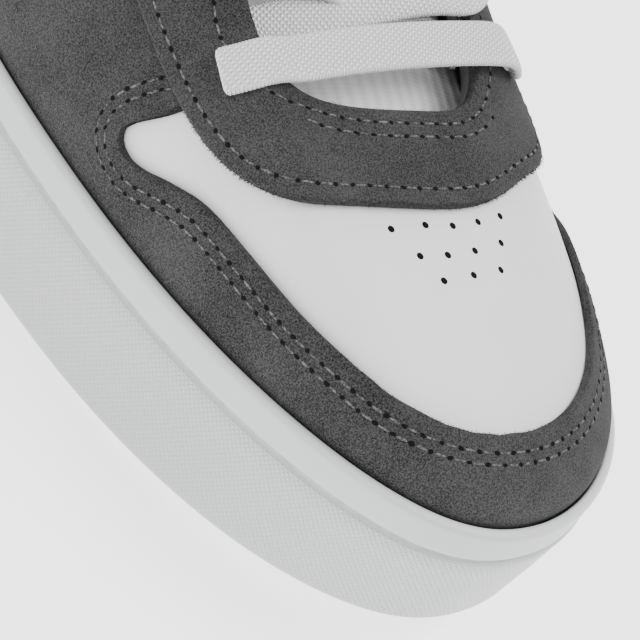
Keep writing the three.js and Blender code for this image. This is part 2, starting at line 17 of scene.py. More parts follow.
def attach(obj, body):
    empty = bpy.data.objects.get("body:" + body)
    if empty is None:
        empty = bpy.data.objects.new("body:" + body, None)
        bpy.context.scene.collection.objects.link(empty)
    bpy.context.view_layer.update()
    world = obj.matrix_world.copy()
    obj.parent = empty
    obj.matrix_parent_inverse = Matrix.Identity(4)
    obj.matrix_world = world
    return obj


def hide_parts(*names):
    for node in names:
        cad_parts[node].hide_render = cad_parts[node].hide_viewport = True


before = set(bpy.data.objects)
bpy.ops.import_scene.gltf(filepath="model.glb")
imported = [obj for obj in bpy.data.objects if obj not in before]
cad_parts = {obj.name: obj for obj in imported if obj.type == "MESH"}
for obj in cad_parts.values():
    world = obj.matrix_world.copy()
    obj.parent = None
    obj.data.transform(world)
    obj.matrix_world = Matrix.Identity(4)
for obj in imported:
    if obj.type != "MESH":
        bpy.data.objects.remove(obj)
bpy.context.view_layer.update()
MM = 0.001
print("CAD nodes:", ", ".join(sorted(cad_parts)))

# %% [markdown]
# ## Camera
#
# The picture looks down on the forefoot from outside the toe, with the camera rolled so that the sole runs
# down the left and the toe points to the lower right. A long lens keeps the sidewall's lines nearly
# parallel. The toe tip is a point that is easy to read in the picture, so the camera is placed by it: it
# stands back from the tip along the line of sight through the tip's pixel.

# %% Camera
AZIMUTH = math.radians(50)  # from the toe's direction towards the outer side
ELEVATION = math.radians(37)
ROLL = math.radians(35.3)
IMAGE_PX = 640
FOCAL_PX = 2300
SENSOR_MM = 36
TOE_TIP = Vector((146.2, 0.13, 35.0)) * MM
TOE_TIP_PX = (515, 524)
TOE_TIP_DEPTH = 0.3541

back = Vector((math.cos(AZIMUTH) * math.cos(ELEVATION), -math.sin(AZIMUTH) * math.cos(ELEVATION),
               math.sin(ELEVATION)))
level = Vector((0, 0, 1)).cross(back).normalized()
rise = back.cross(level)
image_right = level * math.cos(ROLL) + rise * math.sin(ROLL)
image_up = rise * math.cos(ROLL) - level * math.sin(ROLL)

off_right = (TOE_TIP_PX[0] - IMAGE_PX / 2) / FOCAL_PX
off_down = (TOE_TIP_PX[1] - IMAGE_PX / 2) / FOCAL_PX
eye = TOE_TIP + TOE_TIP_DEPTH * (back - off_right * image_right + off_down * image_up)

camera_data = bpy.data.cameras.new("camera")
camera_data.sensor_width = SENSOR_MM
camera_data.lens = SENSOR_MM * FOCAL_PX / IMAGE_PX
camera_data.clip_start = 0.01
camera = bpy.data.objects.new("camera", camera_data)
bpy.context.scene.collection.objects.link(camera)
camera.matrix_world = Matrix.Translation(eye) @ Matrix((image_right, image_up, back)).transposed().to_4x4()
bpy.context.scene.camera = camera
print("camera at", [round(v, 3) for v in eye], "lens", round(camera_data.lens, 1), "mm")

# %% [markdown]
# ## Light and floor
#
# A product photograph of this kind is lit by large soft boxes over a white table. Three area lamps and a
# bright even world do the same: a key from above the toe, a broad fill from the outer side and a weak one
# from behind, so that the sidewall stays a shade darker than the floor.

# %% Light and floor
world = bpy.data.worlds.new("studio")
bpy.context.scene.world = world
world.use_nodes = True
world.node_tree.nodes["Background"].inputs["Color"].default_value = (1, 1, 1, 1)
world.node_tree.nodes["Background"].inputs["Strength"].default_value = 0.85


def soft_box(name, place, size, watts):
    lamp = bpy.data.lights.new(name, "AREA")
    lamp.size = size
    lamp.energy = watts
    box = bpy.data.objects.new(name, lamp)
    box.location = place
    box.rotation_euler = (Vector((0.08, 0, 0.03)) - Vector(place)).to_track_quat("-Z", "Y").to_euler()
    bpy.context.scene.collection.objects.link(box)


soft_box("key", (0.25, 0.45, 0.9), 0.6, 10.5)
soft_box("fill", (0.3, -0.9, 0.5), 0.9, 6)
soft_box("rear", (-0.8, -0.1, 0.6), 0.7, 4.5)

floor_mesh = bmesh.new()
bmesh.ops.create_grid(floor_mesh, x_segments=1, y_segments=1, size=6)
floor_data = bpy.data.meshes.new("floor")
floor_mesh.to_mesh(floor_data)
floor_mesh.free()
floor = bpy.data.objects.new("floor", floor_data)
bpy.context.scene.collection.objects.link(floor)

# %% [markdown]
# ## Sizes of the shoe
#
# These are the driving sizes of the CAD part, in millimetres. The heights and widths of every panel come
# from them, so the looks stay on the solids.

# %% Sizes
LENGTH = 298
BALL_WIDTH = 104
INSTEP_RISE = 69
HEEL_RISE = 52
SIDE_HEIGHT = 27.8
HEEL_LIFT = 4.2
TOE_SPRING = 9.6
HEEL_SPRING = 1.6
ARCH_RISE = 1.6
BED_HEIGHT = 10
BED_LIFT = 6
GAP = 0.3
SUEDE = 1.3
SHELL_WALL = 2.2
OVERLAY_STEP = 0.8
CUP_TAPER = 3
INSOLE_THICKNESS = 4
PAD_THICKNESS = 7
PAD_RISE = 2.2
BAND_OUT = 2.2
UPPER_BAND = 6.6
SEAM_DEPTH = 0.8
SEAM_HALF = 0.5
LOWER_BAND_STEP = 0.25
LIP_ROUND = 1.2
EDGE_ROUND = 1.6
TREAD_DEPTH = 1.8
TREAD_WIDTH = 2.4
TREAD_PITCH = 10
TREAD_MARGIN = 9
LACE_WIDTH = 8.3
LACE_THICKNESS = 1.8
PLAN_MIDDLE = np.array([0.596, -1.629, 0])  # middle of the plan, which the CAD part moves to the origin

# %% [markdown]
# ## The last
#
# A shoemaker pulls the upper over a last, so one surface carries every panel. It is a table of sections
# that go round the foot clockwise from above, starting at the toe, and a curve up the wall at each one. A
# cubic B-spline through the rows gives the sections between them.

# %% The last
COLUMNS = ("along", "across", "lean", "rise", "top_along", "top_across", "top",
           "back_along", "back_across", "drop", "flare", "stay")
LAST = (
    (INSTEP_RISE, 0.493, -0.014, 0.005, 0.167, 0.2745, -0.016, 0.455, 0.104, 0, 0.101, -0.08, 0.816),
    (INSTEP_RISE, 0.475, -0.149, 0.01, 0.167, 0.2705, -0.18, 0.449, 0.091, -0.01, 0.101, -0.06, 0.793),
    (INSTEP_RISE, 0.418, -0.262, 0.014, 0.174, 0.242, -0.2655, 0.478, 0.074, -0.038, 0.094, 0.01, 0.664),
    (INSTEP_RISE, 0.329, -0.359, 0.019, 0.217, 0.181, -0.26, 0.548, 0.047, -0.08, 0.087, 0.05, 0.465),
    (INSTEP_RISE, 0.221, -0.433, 0.024, 0.275, 0.121, -0.255, 0.655, 0.03, -0.105, 0.101, 0.07, 0.494),
    (INSTEP_RISE, 0.101, -0.474, 0.029, 0.333, 0.047, -0.24, 0.783, 0.017, -0.115, 0.159, 0.08, 0.555),
    (INSTEP_RISE, -0.027, -0.447, 0.034, 0.362, -0.027, -0.231, 0.899, 0, -0.106, 0.217, 0.06, 0.6),
    (INSTEP_RISE, -0.161, -0.392, 0.038, 0.362, -0.091, -0.24, 0.964, -0.013, -0.077, 0.319, 0.06, 0.66),
    (HEEL_RISE, -0.295, -0.37, 0.034, 0.269, -0.208, -0.317, 0.865, -0.013, -0.024, 0.308, 0.06, 0.7),
    (HEEL_RISE, -0.409, -0.332, 0.038, 0.288, -0.349, -0.322, 0.712, -0.01, -0.005, 0.269, 0.04, 0.7),
    (HEEL_RISE, -0.47, -0.197, 0.038, 0.308, -0.446, -0.173, 0.865, -0.003, 0.005, 0.308, 0.01, 0.7),
    (HEEL_RISE, -0.489, -0.019, 0.043, 0.346, -0.475, -0.019, 1, -0.005, 0, 0.346, 0, 0.7),
    (HEEL_RISE, -0.47, 0.154, 0.038, 0.308, -0.448, 0.135, 0.885, -0.003, -0.005, 0.308, 0.01, 0.7),
    (HEEL_RISE, -0.411, 0.284, 0.038, 0.288, -0.349, 0.274, 0.75, -0.01, 0.005, 0.269, 0.04, 0.7),
    (HEEL_RISE, -0.295, 0.332, 0.034, 0.269, -0.208, 0.274, 0.904, -0.013, 0.024, 0.308, 0.04, 0.7),
    (INSTEP_RISE, -0.161, 0.333, 0.038, 0.362, -0.084, 0.207, 0.978, -0.013, 0.077, 0.319, 0.05, 0.66),
    (INSTEP_RISE, -0.027, 0.38, 0.034, 0.362, -0.027, 0.183, 0.913, 0, 0.115, 0.217, 0.06, 0.6),
    (INSTEP_RISE, 0.101, 0.431, 0.021, 0.319, 0.047, 0.183, 0.794, 0.017, 0.106, 0.188, 0.06, 0.555),
    (INSTEP_RISE, 0.221, 0.448, 0.01, 0.174, 0.121, 0.183, 0.659, 0.03, 0.106, 0.138, 0.06, 0.51),
    (INSTEP_RISE, 0.329, 0.427, 0.012, 0.145, 0.185, 0.178, 0.551, 0.047, 0.087, 0.101, 0.03, 0.555),
    (INSTEP_RISE, 0.413, 0.35, 0.004, 0.123, 0.235, 0.161, 0.493, 0.074, 0.048, 0.101, -0.01, 0.722),
    (INSTEP_RISE, 0.473, 0.171, 0.006, 0.145, 0.267, 0.098, 0.457, 0.091, 0.014, 0.101, -0.06, 0.805),
)
STATIONS = len(LAST)
HEEL = STATIONS / 2
NUDGE = 0.01


def in_millimetres(row):
    rise_mm, *shares = row
    scale = dict.fromkeys(("along", "top_along", "back_along"), LENGTH)
    scale.update(dict.fromkeys(("across", "top_across", "back_across", "lean"), BALL_WIDTH))
    scale.update(dict.fromkeys(("rise", "top", "drop"), rise_mm), flare=SIDE_HEIGHT, stay=1)
    return [share * scale[name] for name, share in zip(COLUMNS, shares)]


def settle(rows):
    """Control values of the closed cubic B-spline that runs through every row."""
    count = len(rows)
    pull = 4 * np.eye(count) + np.roll(np.eye(count), 1, 0) + np.roll(np.eye(count), -1, 0)
    return np.linalg.solve(pull, 6 * np.array(rows))


CONTROLS = settle([in_millimetres(row) for row in LAST])


def section(s):
    s = np.mod(s, STATIONS)
    first = np.floor(s).astype(int)
    u = (s - first)[..., None]
    weights = ((1 - u) ** 3, 3 * u ** 3 - 6 * u ** 2 + 4, -3 * u ** 3 + 3 * u ** 2 + 3 * u + 1, u ** 3)
    values = sum(w * CONTROLS[(first + k - 1) % STATIONS] for k, w in enumerate(weights)) / 6
    return dict(zip(COLUMNS, np.moveaxis(values, -1, 0)))


def ease(x, start, end):
    t = np.clip((x - start) / (end - start), 0, 1)
    return t * t * (3 - 2 * t)


def toe_spring(x):
    start = 0.225 * LENGTH
    return TOE_SPRING * np.clip((x - start) / (LENGTH / 2 - start), 0, None) ** 2


def bottom_height(x):
    heel_start = -0.42 * LENGTH
    heel = np.clip((heel_start - x) / (LENGTH / 2 + heel_start), 0, None) ** 2
    arch = ease(x, -0.16 * LENGTH, -0.11 * LENGTH) * (1 - ease(x, -0.06 * LENGTH, 0))
    return toe_spring(x) + HEEL_SPRING * heel + ARCH_RISE * arch


def side_top(x):
    return SIDE_HEIGHT + HEEL_LIFT * ease(x, 0.134 * LENGTH, -0.42 * LENGTH) + 0.75 * toe_spring(x)


def bed_height(x):
    return BED_HEIGHT + BED_LIFT * ease(x, 0.134 * LENGTH, -0.37 * LENGTH) + 0.95 * toe_spring(x)


def stack(x, y, z):
    return np.stack(np.broadcast_arrays(x, y, z), -1)


def plan_normal(s):
    a, b = section(s - NUDGE), section(s + NUDGE)
    out = stack(a["across"] - b["across"], b["along"] - a["along"], 0.0)
    return out / np.linalg.norm(out, axis=-1, keepdims=True)


def surface(s, t):
    """Height share t is 0 at the sole's lip, 1 at the edge of the opening and -1 at the footbed."""
    s, t = np.broadcast_arrays(np.asarray(s, float), np.asarray(t, float))
    row = section(s)
    out = plan_normal(s)
    t = t[..., None]
    foot = stack(row["along"], row["across"], side_top(row["along"]))
    top = stack(row["top_along"], row["top_across"], row["top"] + side_top(row["top_along"]))
    side = foot + out * row["lean"][..., None] + stack(0, 0, row["rise"])
    shoulder = top + stack(row["back_along"], row["back_across"], -row["drop"])
    u = np.clip(t, 0, None)
    wall = (1 - u) ** 3 * foot + 3 * (1 - u) ** 2 * u * side + 3 * (1 - u) * u ** 2 * shoulder + u ** 3 * top
    depth = side_top(row["along"]) - bed_height(row["along"]) - GAP
    cup = foot + (out * CUP_TAPER + stack(0, 0, depth)) * np.clip(t, -1, 0)
    return np.where(t > 0, wall, cup) - PLAN_MIDDLE


def surface_normal(s, t):
    s, t = np.broadcast_arrays(np.asarray(s, float), np.asarray(t, float))
    around = surface(s + NUDGE, t) - surface(s - NUDGE, t)
    up = surface(s, np.clip(t + NUDGE, -1, 1)) - surface(s, np.clip(t - NUDGE, -1, 1))
    normal = np.cross(up, around)
    return normal / np.linalg.norm(normal, axis=-1, keepdims=True)


def skin(s, t, lift):
    return surface(s, t) + surface_normal(s, t) * np.asarray(lift, float)[..., None]


SHELL_OUTSIDE = -(SUEDE + GAP)
SHELL_INSIDE = SHELL_OUTSIDE - SHELL_WALL
LINING = SHELL_INSIDE - GAP
print("toe tip", surface(0.0, 0.0).round(1), "heel top", surface(HEEL, 1.0).round(1))

# %% [markdown]
# ## From rows of points to a piece
#
# Every panel is a sheet of points in rows and columns. A bmesh grid already has the right faces, so the
# points only have to be moved into place. Where a sheet closes on itself, its doubled edge is merged.

# %% Pieces
def new_piece(name, mesh, material, node=None, smooth=True):
    data = bpy.data.meshes.new(name)
    mesh.to_mesh(data)
    mesh.free()
    data.materials.append(material)
    if smooth:
        data.polygons.foreach_set("use_smooth", [True] * len(data.polygons))
    piece = bpy.data.objects.new(name, data)
    bpy.context.scene.collection.objects.link(piece)
    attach(piece, "root")
    if node:
        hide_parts(node)
    print(name, len(data.polygons), "faces")
    return piece


def sheet(points, uv=None, mesh=None):
    """Adds a grid of points, in millimetres, with rows first. uv is in millimetres too."""
    mesh = mesh or bmesh.new()
    rows, columns = points.shape[:2]
    layer = mesh.loops.layers.uv.get("cut") or mesh.loops.layers.uv.new("cut")
    grid = bmesh.ops.create_grid(mesh, x_segments=rows - 1, y_segments=columns - 1, size=1)["verts"]
    where = {}
    for vert in grid:
        i = round((vert.co.x + 1) / 2 * (rows - 1))
        j = round((vert.co.y + 1) / 2 * (columns - 1))
        where[vert] = (i, j)
    for vert, (i, j) in where.items():
        vert.co = points[i, j] * MM
        if uv is not None:
            for loop in vert.link_loops:
                loop[layer].uv = uv[i, j] * MM
    return mesh


def finish_sheet(mesh, close_holes=False):
    bmesh.ops.remove_doubles(mesh, verts=mesh.verts, dist=2e-6)
    if close_holes:
        rims = [edge for edge in mesh.edges if len(edge.link_faces) == 1]
        bmesh.ops.holes_fill(mesh, edges=rims, sides=0)
    bmesh.ops.recalc_face_normals(mesh, faces=mesh.faces)
    return mesh


def frame_at(centre, along, normal):
    """Place of a small part: its x lies along, and its z stands on the surface."""
    along = Vector(along).normalized()
    normal = Vector(normal)
    side = normal.cross(along).normalized()
    turn = Matrix((along, side, along.cross(side))).transposed().to_4x4()
    return Matrix.Translation(Vector(centre) * MM) @ turn


def running_length(points):
    steps = np.linalg.norm(np.diff(points, axis=0), axis=-1)
    return np.concatenate([[0], np.cumsum(steps)])


# %% [markdown]
# ## Materials
#
# Shader sums are easier to read as arithmetic, so a small class wraps one output of a node: sums of wires
# add Math nodes, and node() adds any other kind. Grain and nap are laid in the object's own metres. Woven
# and moulded patterns follow the sheet's own layer of lengths, which is called "cut".

# %% Shader wires
class Wire:
    def __init__(self, socket):
        self.socket = socket

    def node(self, kind, inputs=(), output=0, **settings):
        tree = self.socket.id_data
        made = tree.nodes.new("ShaderNode" + kind)
        for name, value in settings.items():
            setattr(made, name, value)
        for slot, value in dict(inputs).items():
            if isinstance(value, Wire):
                tree.links.new(value.socket, made.inputs[slot])
            else:
                made.inputs[slot].default_value = value
        return Wire(made.outputs[output])

    def math(self, operation, *values):
        return self.node("Math", enumerate(values), operation=operation)

    def __add__(self, other):
        return self.math("ADD", self, other)

    def __radd__(self, other):
        return self.math("ADD", other, self)

    def __sub__(self, other):
        return self.math("SUBTRACT", self, other)

    def __rsub__(self, other):
        return self.math("SUBTRACT", other, self)

    def __mul__(self, other):
        return self.math("MULTIPLY", self, other)

    def __rmul__(self, other):
        return self.math("MULTIPLY", other, self)

    def __truediv__(self, other):
        return self.math("DIVIDE", self, other)

    def noise(self, size, detail=2.0, rough=0.5):
        """Noise with grains of about size metres, from a place."""
        settings = {"Vector": self, "Scale": 1 / size, "Detail": detail, "Roughness": rough}
        return self.node("TexNoise", settings)

    def between(self, start, end):
        return self.node("MapRange", {0: self, 1: start, 2: end}, interpolation_type="SMOOTHSTEP")

    def colours(self, low, high):
        return self.node("Mix", {0: self, 6: (*low, 1), 7: (*high, 1)}, output=2, data_type="RGBA")

    def wave(self, pitch):
        """0 in the groove and 1 on the ridge of rows at this pitch."""
        return 0.5 - 0.5 * self.math("COSINE", self * (2 * math.pi / pitch))


class Cover:
    """A material with the two places that its patterns are laid in."""

    def __init__(self, name, roughness, specular=0.4, sheen=0.0):
        self.material = bpy.data.materials.new(name)
        self.material.use_nodes = True
        nodes = self.material.node_tree.nodes
        self.shader = nodes["Principled BSDF"]
        self.shader.inputs["Roughness"].default_value = roughness
        self.shader.inputs["Specular IOR Level"].default_value = specular
        self.shader.inputs["Sheen Weight"].default_value = sheen
        self.place = Wire(nodes.new("ShaderNodeTexCoord").outputs["Object"])
        cut = nodes.new("ShaderNodeUVMap")
        cut.uv_map = "cut"
        cut = Wire(cut.outputs["UV"])
        self.along, self.down = (cut.node("SeparateXYZ", {0: cut}, output=k) * 1000 for k in (0, 1))

    def finish(self, colour, height=None, depth=0.0):
        links = self.material.node_tree.links
        if isinstance(colour, Wire):
            links.new(colour.socket, self.shader.inputs["Base Color"])
        else:
            self.shader.inputs["Base Color"].default_value = (*colour, 1)
        if height is not None:
            normal = height.node("Bump", {"Height": height, "Distance": depth})
            links.new(normal.socket, self.shader.inputs["Normal"])
        return self.material


# %% [markdown]
# Rubber takes the mould's finish: a fine diamond lattice on the sidewall's lower band, smooth elsewhere,
# with painted highlights along the lip and along the seam's lower edge. Leather has a slight grain, and its
# inside face is painted near black as shade. Suede is a dark nap with light fibre ends, so it is speckled all
# over. The knit has ridges along the tongue and finer rows across. The lace is a braid of small beads in
# slanting rows, with one row of loops along each edge. The paper floor glows a little, as a lit table does.

# %% Materials
def rubber_cover():
    cover = Cover("rubber", 0.45)
    one, other = (cover.along / 1.05 + sign * cover.down / 1.2 for sign in (1, -1))
    patterned = cover.down.between(0.9, 1.4)
    lattice = one.math("MINIMUM", one.wave(1), other.wave(1)) * patterned
    cloud = cover.place.noise(0.03).between(0.3, 0.7)
    # lip: a painted highlight on the lip's top rounding and above it, the bright line where light catches the
    # rounded rubber
    lip = 1 - cover.down.between(-UPPER_BAND - 0.6, -UPPER_BAND + 0.2)
    # seam_highlight: a painted highlight along the lower edge of the seam groove, broken up by noise
    highlight_breaks = cover.place.noise(0.003, 2).between(0.42, 0.58)
    seam_highlight = cover.down.between(-0.3, -0.1) * (1 - cover.down.between(0.3, 0.5)) * highlight_breaks
    tone = 0.25 + 0.2 * cloud + 0.8 * lattice - 0.2 * patterned + 0.8 * lip + 0.8 * seam_highlight
    return cover.finish(tone.colours((0.48, 0.495, 0.492), (0.61, 0.625, 0.622)), lattice, 0.0002)


def leather_cover():
    cover = Cover("leather", 0.5, 0.35)
    grain = cover.place.noise(0.0006, 3)
    pale = cover.place.noise(0.02).between(0.3, 0.7).colours((0.78, 0.78, 0.78), (0.81, 0.81, 0.81))
    # shaded_inside: the shell's inside face is painted near black, painted shade under the opening's edge
    shaded_inside = cover.down.between(0.4, 0.6)
    colour = shaded_inside.node("Mix", {0: shaded_inside, 6: pale, 7: (0.06, 0.06, 0.062, 1)}, output=2, data_type="RGBA")
    return cover.finish(colour, grain, 0.00004)


def suede_cover():
    cover = Cover("suede", 0.95, 0.1, 0.05)
    nap = cover.place.noise(0.00027, 4, 0.65)
    brushed = cover.place.noise(0.012, 3)
    tone = nap.between(0.33, 0.69) * 0.8 + brushed.between(0.3, 0.7) * 0.2
    return cover.finish(tone.colours((0.003, 0.003, 0.003), (0.086, 0.086, 0.086)), nap, 0.00025)


def knit_cover():
    cover = Cover("knit", 0.95, 0.2)
    ridges, rows = cover.down.wave(2.7), cover.along.wave(0.85)
    shape = ridges * 0.6 + rows * 0.2 + cover.place.noise(0.0004) * 0.3
    tone = shape.between(0.1, 0.9)
    return cover.finish(tone.colours((0.66, 0.66, 0.66), (0.78, 0.78, 0.78)), shape, 0.00022)


def weave_cover():
    cover = Cover("weave", 0.9, 0.2)
    slant = cover.down * 0.88 - cover.along * 0.47
    beads = slant.wave(0.78) * (cover.along + cover.down * 0.35).wave(1.05)
    beads = beads.math("POWER", beads, 0.45)
    loops = cover.along.wave(0.6)
    border = cover.down.math("ABSOLUTE", cover.down).between(3.5, 3.8)
    shape = beads * (1 - border) + loops * border
    return cover.finish(shape.colours((0.7, 0.7, 0.705), (0.95, 0.95, 0.955)), shape, 0.00045)


def cloth_cover(name, dark, light):
    cover = Cover(name, 0.95, 0.1)
    weft = cover.place.noise(0.0005, 2)
    return cover.finish(weft.between(0.3, 0.7).colours(dark, light), weft, 0.0002)


def plain_cover(name, colour, roughness):
    return Cover(name, roughness, 0.1).finish(colour)


rubber = rubber_cover()
leather = leather_cover()
suede = suede_cover()
knit = knit_cover()
weave = weave_cover()
cloth = cloth_cover("cloth", (0.05, 0.05, 0.052), (0.12, 0.12, 0.124))
insole_cloth = cloth_cover("insole_cloth", (0.2, 0.205, 0.21), (0.34, 0.345, 0.35))
thread = cloth_cover("thread", (0.035, 0.035, 0.035), (0.17, 0.17, 0.17))
# pit: needle holes and vent holes are dark beads and discs, painted shade in place of their openings
pit = plain_cover("hole", (0.006, 0.006, 0.006), 1.0)
paper = Cover("paper", 0.9, 0.0)
paper.shader.inputs["Emission Color"].default_value = (1, 1, 1, 1)
paper.shader.inputs["Emission Strength"].default_value = 1.6
floor.data.materials.append(paper.finish((0.9, 0.9, 0.9)))
print(len(bpy.data.materials), "materials")

# %% [markdown]
# ## Cupsole
#
# The sole is one moulded cup of rubber: its sidewall stands up round the upper, and a stitch-free seam
# parts a smooth band along the lip from a fine lattice below it. The sidewall is a ring swept round the
# lip. The tread and the footbed are ladders of rungs between the same stations on both sides.

# %% Cupsole
RING = np.linspace(0, STATIONS, STATIONS * 48 + 1)
BODY_RING = RING[::2]


def beside_lip(row, normal, out, z):
    plan = stack(row["along"], row["across"], 0.0) + normal * np.asarray(out)[..., None]
    return plan * (1, 1, 0) + stack(0, 0, z) - PLAN_MIDDLE


def arc(start, end, steps):
    return [math.radians(a) for a in np.linspace(start, end, steps)]


def sidewall_profile(row):
    """(out, height) from the footbed over the lip and down to the floor."""
    x = row["along"]
    top, bed, floor_z = side_top(x), bed_height(x), bottom_height(x)
    seam = top - UPPER_BAND
    wide = BAND_OUT + row["flare"]
    belly = BAND_OUT + LOWER_BAND_STEP + 0.55 * row["flare"]
    points = [(GAP - CUP_TAPER - 1, bed), (GAP - CUP_TAPER, bed + GAP), (GAP, top - 1.0), (GAP, top - 0.5),
              (GAP + 0.15, top - 0.15), (GAP + 0.4, top)]
    points += [(BAND_OUT - LIP_ROUND * (1 - math.sin(a)), top - LIP_ROUND * (1 - math.cos(a)))
               for a in arc(0, 90, 6)]
    points += [(BAND_OUT, top + (seam + SEAM_HALF + 0.3 - top) * u) for u in (0.35, 0.6, 0.85, 1)]
    points += [(BAND_OUT - 0.15, seam + SEAM_HALF), (BAND_OUT - SEAM_DEPTH, seam + 0.1),
               (BAND_OUT - SEAM_DEPTH, seam - 0.1), (BAND_OUT + LOWER_BAND_STEP - 0.15, seam - SEAM_HALF),
               (BAND_OUT + LOWER_BAND_STEP, seam - SEAM_HALF - 0.2)]
    points += [(BAND_OUT + LOWER_BAND_STEP + (belly - BAND_OUT - LOWER_BAND_STEP) * u,
                seam - SEAM_HALF + (floor_z - seam + SEAM_HALF) * 0.5 * u) for u in (0.33, 0.67, 1)]
    points += [(belly + (wide - belly) * u, floor_z + (seam - floor_z) * 0.5 * (1 - u) + EDGE_ROUND * u)
               for u in (0.33, 0.67, 1)]
    points += [(wide - EDGE_ROUND * (1 - math.cos(a)), floor_z + EDGE_ROUND * (1 - math.sin(a)))
               for a in arc(15, 90, 6)]
    return points


ring_row = section(RING)
ring_normal = plan_normal(RING)
side_points = np.stack([beside_lip(ring_row, ring_normal, out + 0 * RING, z)
                        for out, z in sidewall_profile(ring_row)], 1)
SEAM_COLUMN = 18  # the column just under the seam
side_along = running_length(side_points[:, SEAM_COLUMN])
side_down = np.stack([running_length(row) for row in side_points])
side_down -= side_down[:, SEAM_COLUMN:SEAM_COLUMN + 1]
side_uv = np.stack([np.broadcast_to(side_along[:, None], side_down.shape), side_down], -1)
sole_mesh = sheet(side_points, side_uv)


def ladder(border, height, columns=9):
    """Rungs between the outer and the inner half of a closed border."""
    half = len(border) // 2
    outer, inner = border[:half + 1][:, None], border[::-1][:half + 1][:, None]
    across = np.linspace(0, 1, columns)[None, :, None]
    points = outer * (1 - across) + inner * across
    reach = np.linalg.norm(inner - outer, axis=-1) * np.minimum(across, 1 - across)[..., 0]
    points[:, 1:-1, 2] = height(points[:, 1:-1, 0] + PLAN_MIDDLE[0], reach[:, 1:-1])
    return points


TREAD_ZONES = ((0.012, 0.24), (-0.42, -0.2))  # forefoot and heel, as shares of the length


def tread_height(x, reach):
    """The floor side, with grooves across the forefoot and the heel, away from the border."""
    groove = 0
    for start, end in TREAD_ZONES:
        inside = (x > start * LENGTH - 2) & (x < end * LENGTH)
        past = (x - start * LENGTH + TREAD_PITCH / 2) % TREAD_PITCH
        near = np.abs(past - TREAD_PITCH / 2)
        groove = groove + inside * (1 - ease(near, TREAD_WIDTH / 2 - 0.3, TREAD_WIDTH / 2 + 0.3))
    return bottom_height(x) + TREAD_DEPTH * groove * ease(reach, TREAD_MARGIN, TREAD_MARGIN + 0.8)


def bed_surface(x, reach):
    return bed_height(x)


sheet(ladder(side_points[:, -1], tread_height, 49), mesh=sole_mesh)
sheet(ladder(side_points[:, 0], bed_surface), mesh=sole_mesh)
sole = new_piece("sole", finish_sheet(sole_mesh), rubber, "cupsole")

# %% [markdown]
# ## Insole
#
# A foam footbed under cloth lies loose in the cup. Only its top shows, through the collar.

# %% Insole
bed_edge = skin(BODY_RING, -1.0, LINING + 0 * BODY_RING)


def insole_height(lift):
    return lambda x, reach=0: bed_height(x) + GAP + lift


insole_mesh = bmesh.new()
insole_rims = []
INSOLE_EDGE = ((0, 0), (INSOLE_THICKNESS - 0.8, 0), (INSOLE_THICKNESS - 0.2, 0.25), (INSOLE_THICKNESS, 0.9))
for lift, inset in INSOLE_EDGE:
    rim = bed_edge - plan_normal(BODY_RING) * inset
    rim[:, 2] = insole_height(lift)(rim[:, 0] + PLAN_MIDDLE[0])
    insole_rims.append(rim)
sheet(np.stack(insole_rims, 1), mesh=insole_mesh)
sheet(ladder(insole_rims[0], insole_height(0)), mesh=insole_mesh)
sheet(ladder(insole_rims[-1], insole_height(INSOLE_THICKNESS)), mesh=insole_mesh)
insole = new_piece("footbed", finish_sheet(insole_mesh), insole_cloth, "insole")

# %% [markdown]
# ## Leather upper
#
# One pale leather shell is pulled over the last. It shows only in the vamp window, but it runs round the
# whole foot under the suede, down into the cup and up to the edge of the opening.

# %% Leather upper
def closed_profile(outer, inner):
    """Joins an outer and an inner column of (height, lift) arrays into one closed column."""
    return outer + inner[::-1] + outer[:1]


def wrap(stations, profile):
    return np.stack([skin(stations, t + 0 * stations, lift + 0 * stations) for t, lift in profile], 1)


WALL = list(np.linspace(-1, 0, 4)) + list(np.linspace(0, 1, 41))[1:-1]
shell_profile = closed_profile(
    [(t, SHELL_OUTSIDE) for t in WALL] + [(0.995, SHELL_OUTSIDE - 0.1), (1, SHELL_OUTSIDE - 0.7)],
    [(t, SHELL_INSIDE) for t in WALL[::3]] + [(0.995, SHELL_INSIDE + 0.1), (1, SHELL_INSIDE + 0.7)])
shell_points = wrap(BODY_RING, shell_profile)
# Faces inside the shell are marked for the leather's painted shade, which colours its inside face near black.
inside_shade_mark = np.array([lift < SHELL_OUTSIDE - 0.05 for _, lift in shell_profile], float)
shell_uv = np.stack(np.broadcast_arrays(BODY_RING[:, None], inside_shade_mark[None]), -1)
shell = new_piece("leather_shell", finish_sheet(sheet(shell_points, shell_uv)), leather, "upper")

# %% [markdown]
# ## Suede wrap
#
# Suede wraps the toe and both sides up to the opening. Its upper edge leaves the eyestay, turns round a
# blunt tail and follows the toe as a rand, so the edge is a path over the last and not a height for each
# station. The panel is spanned between that path and the lip, with a cut edge of its own.

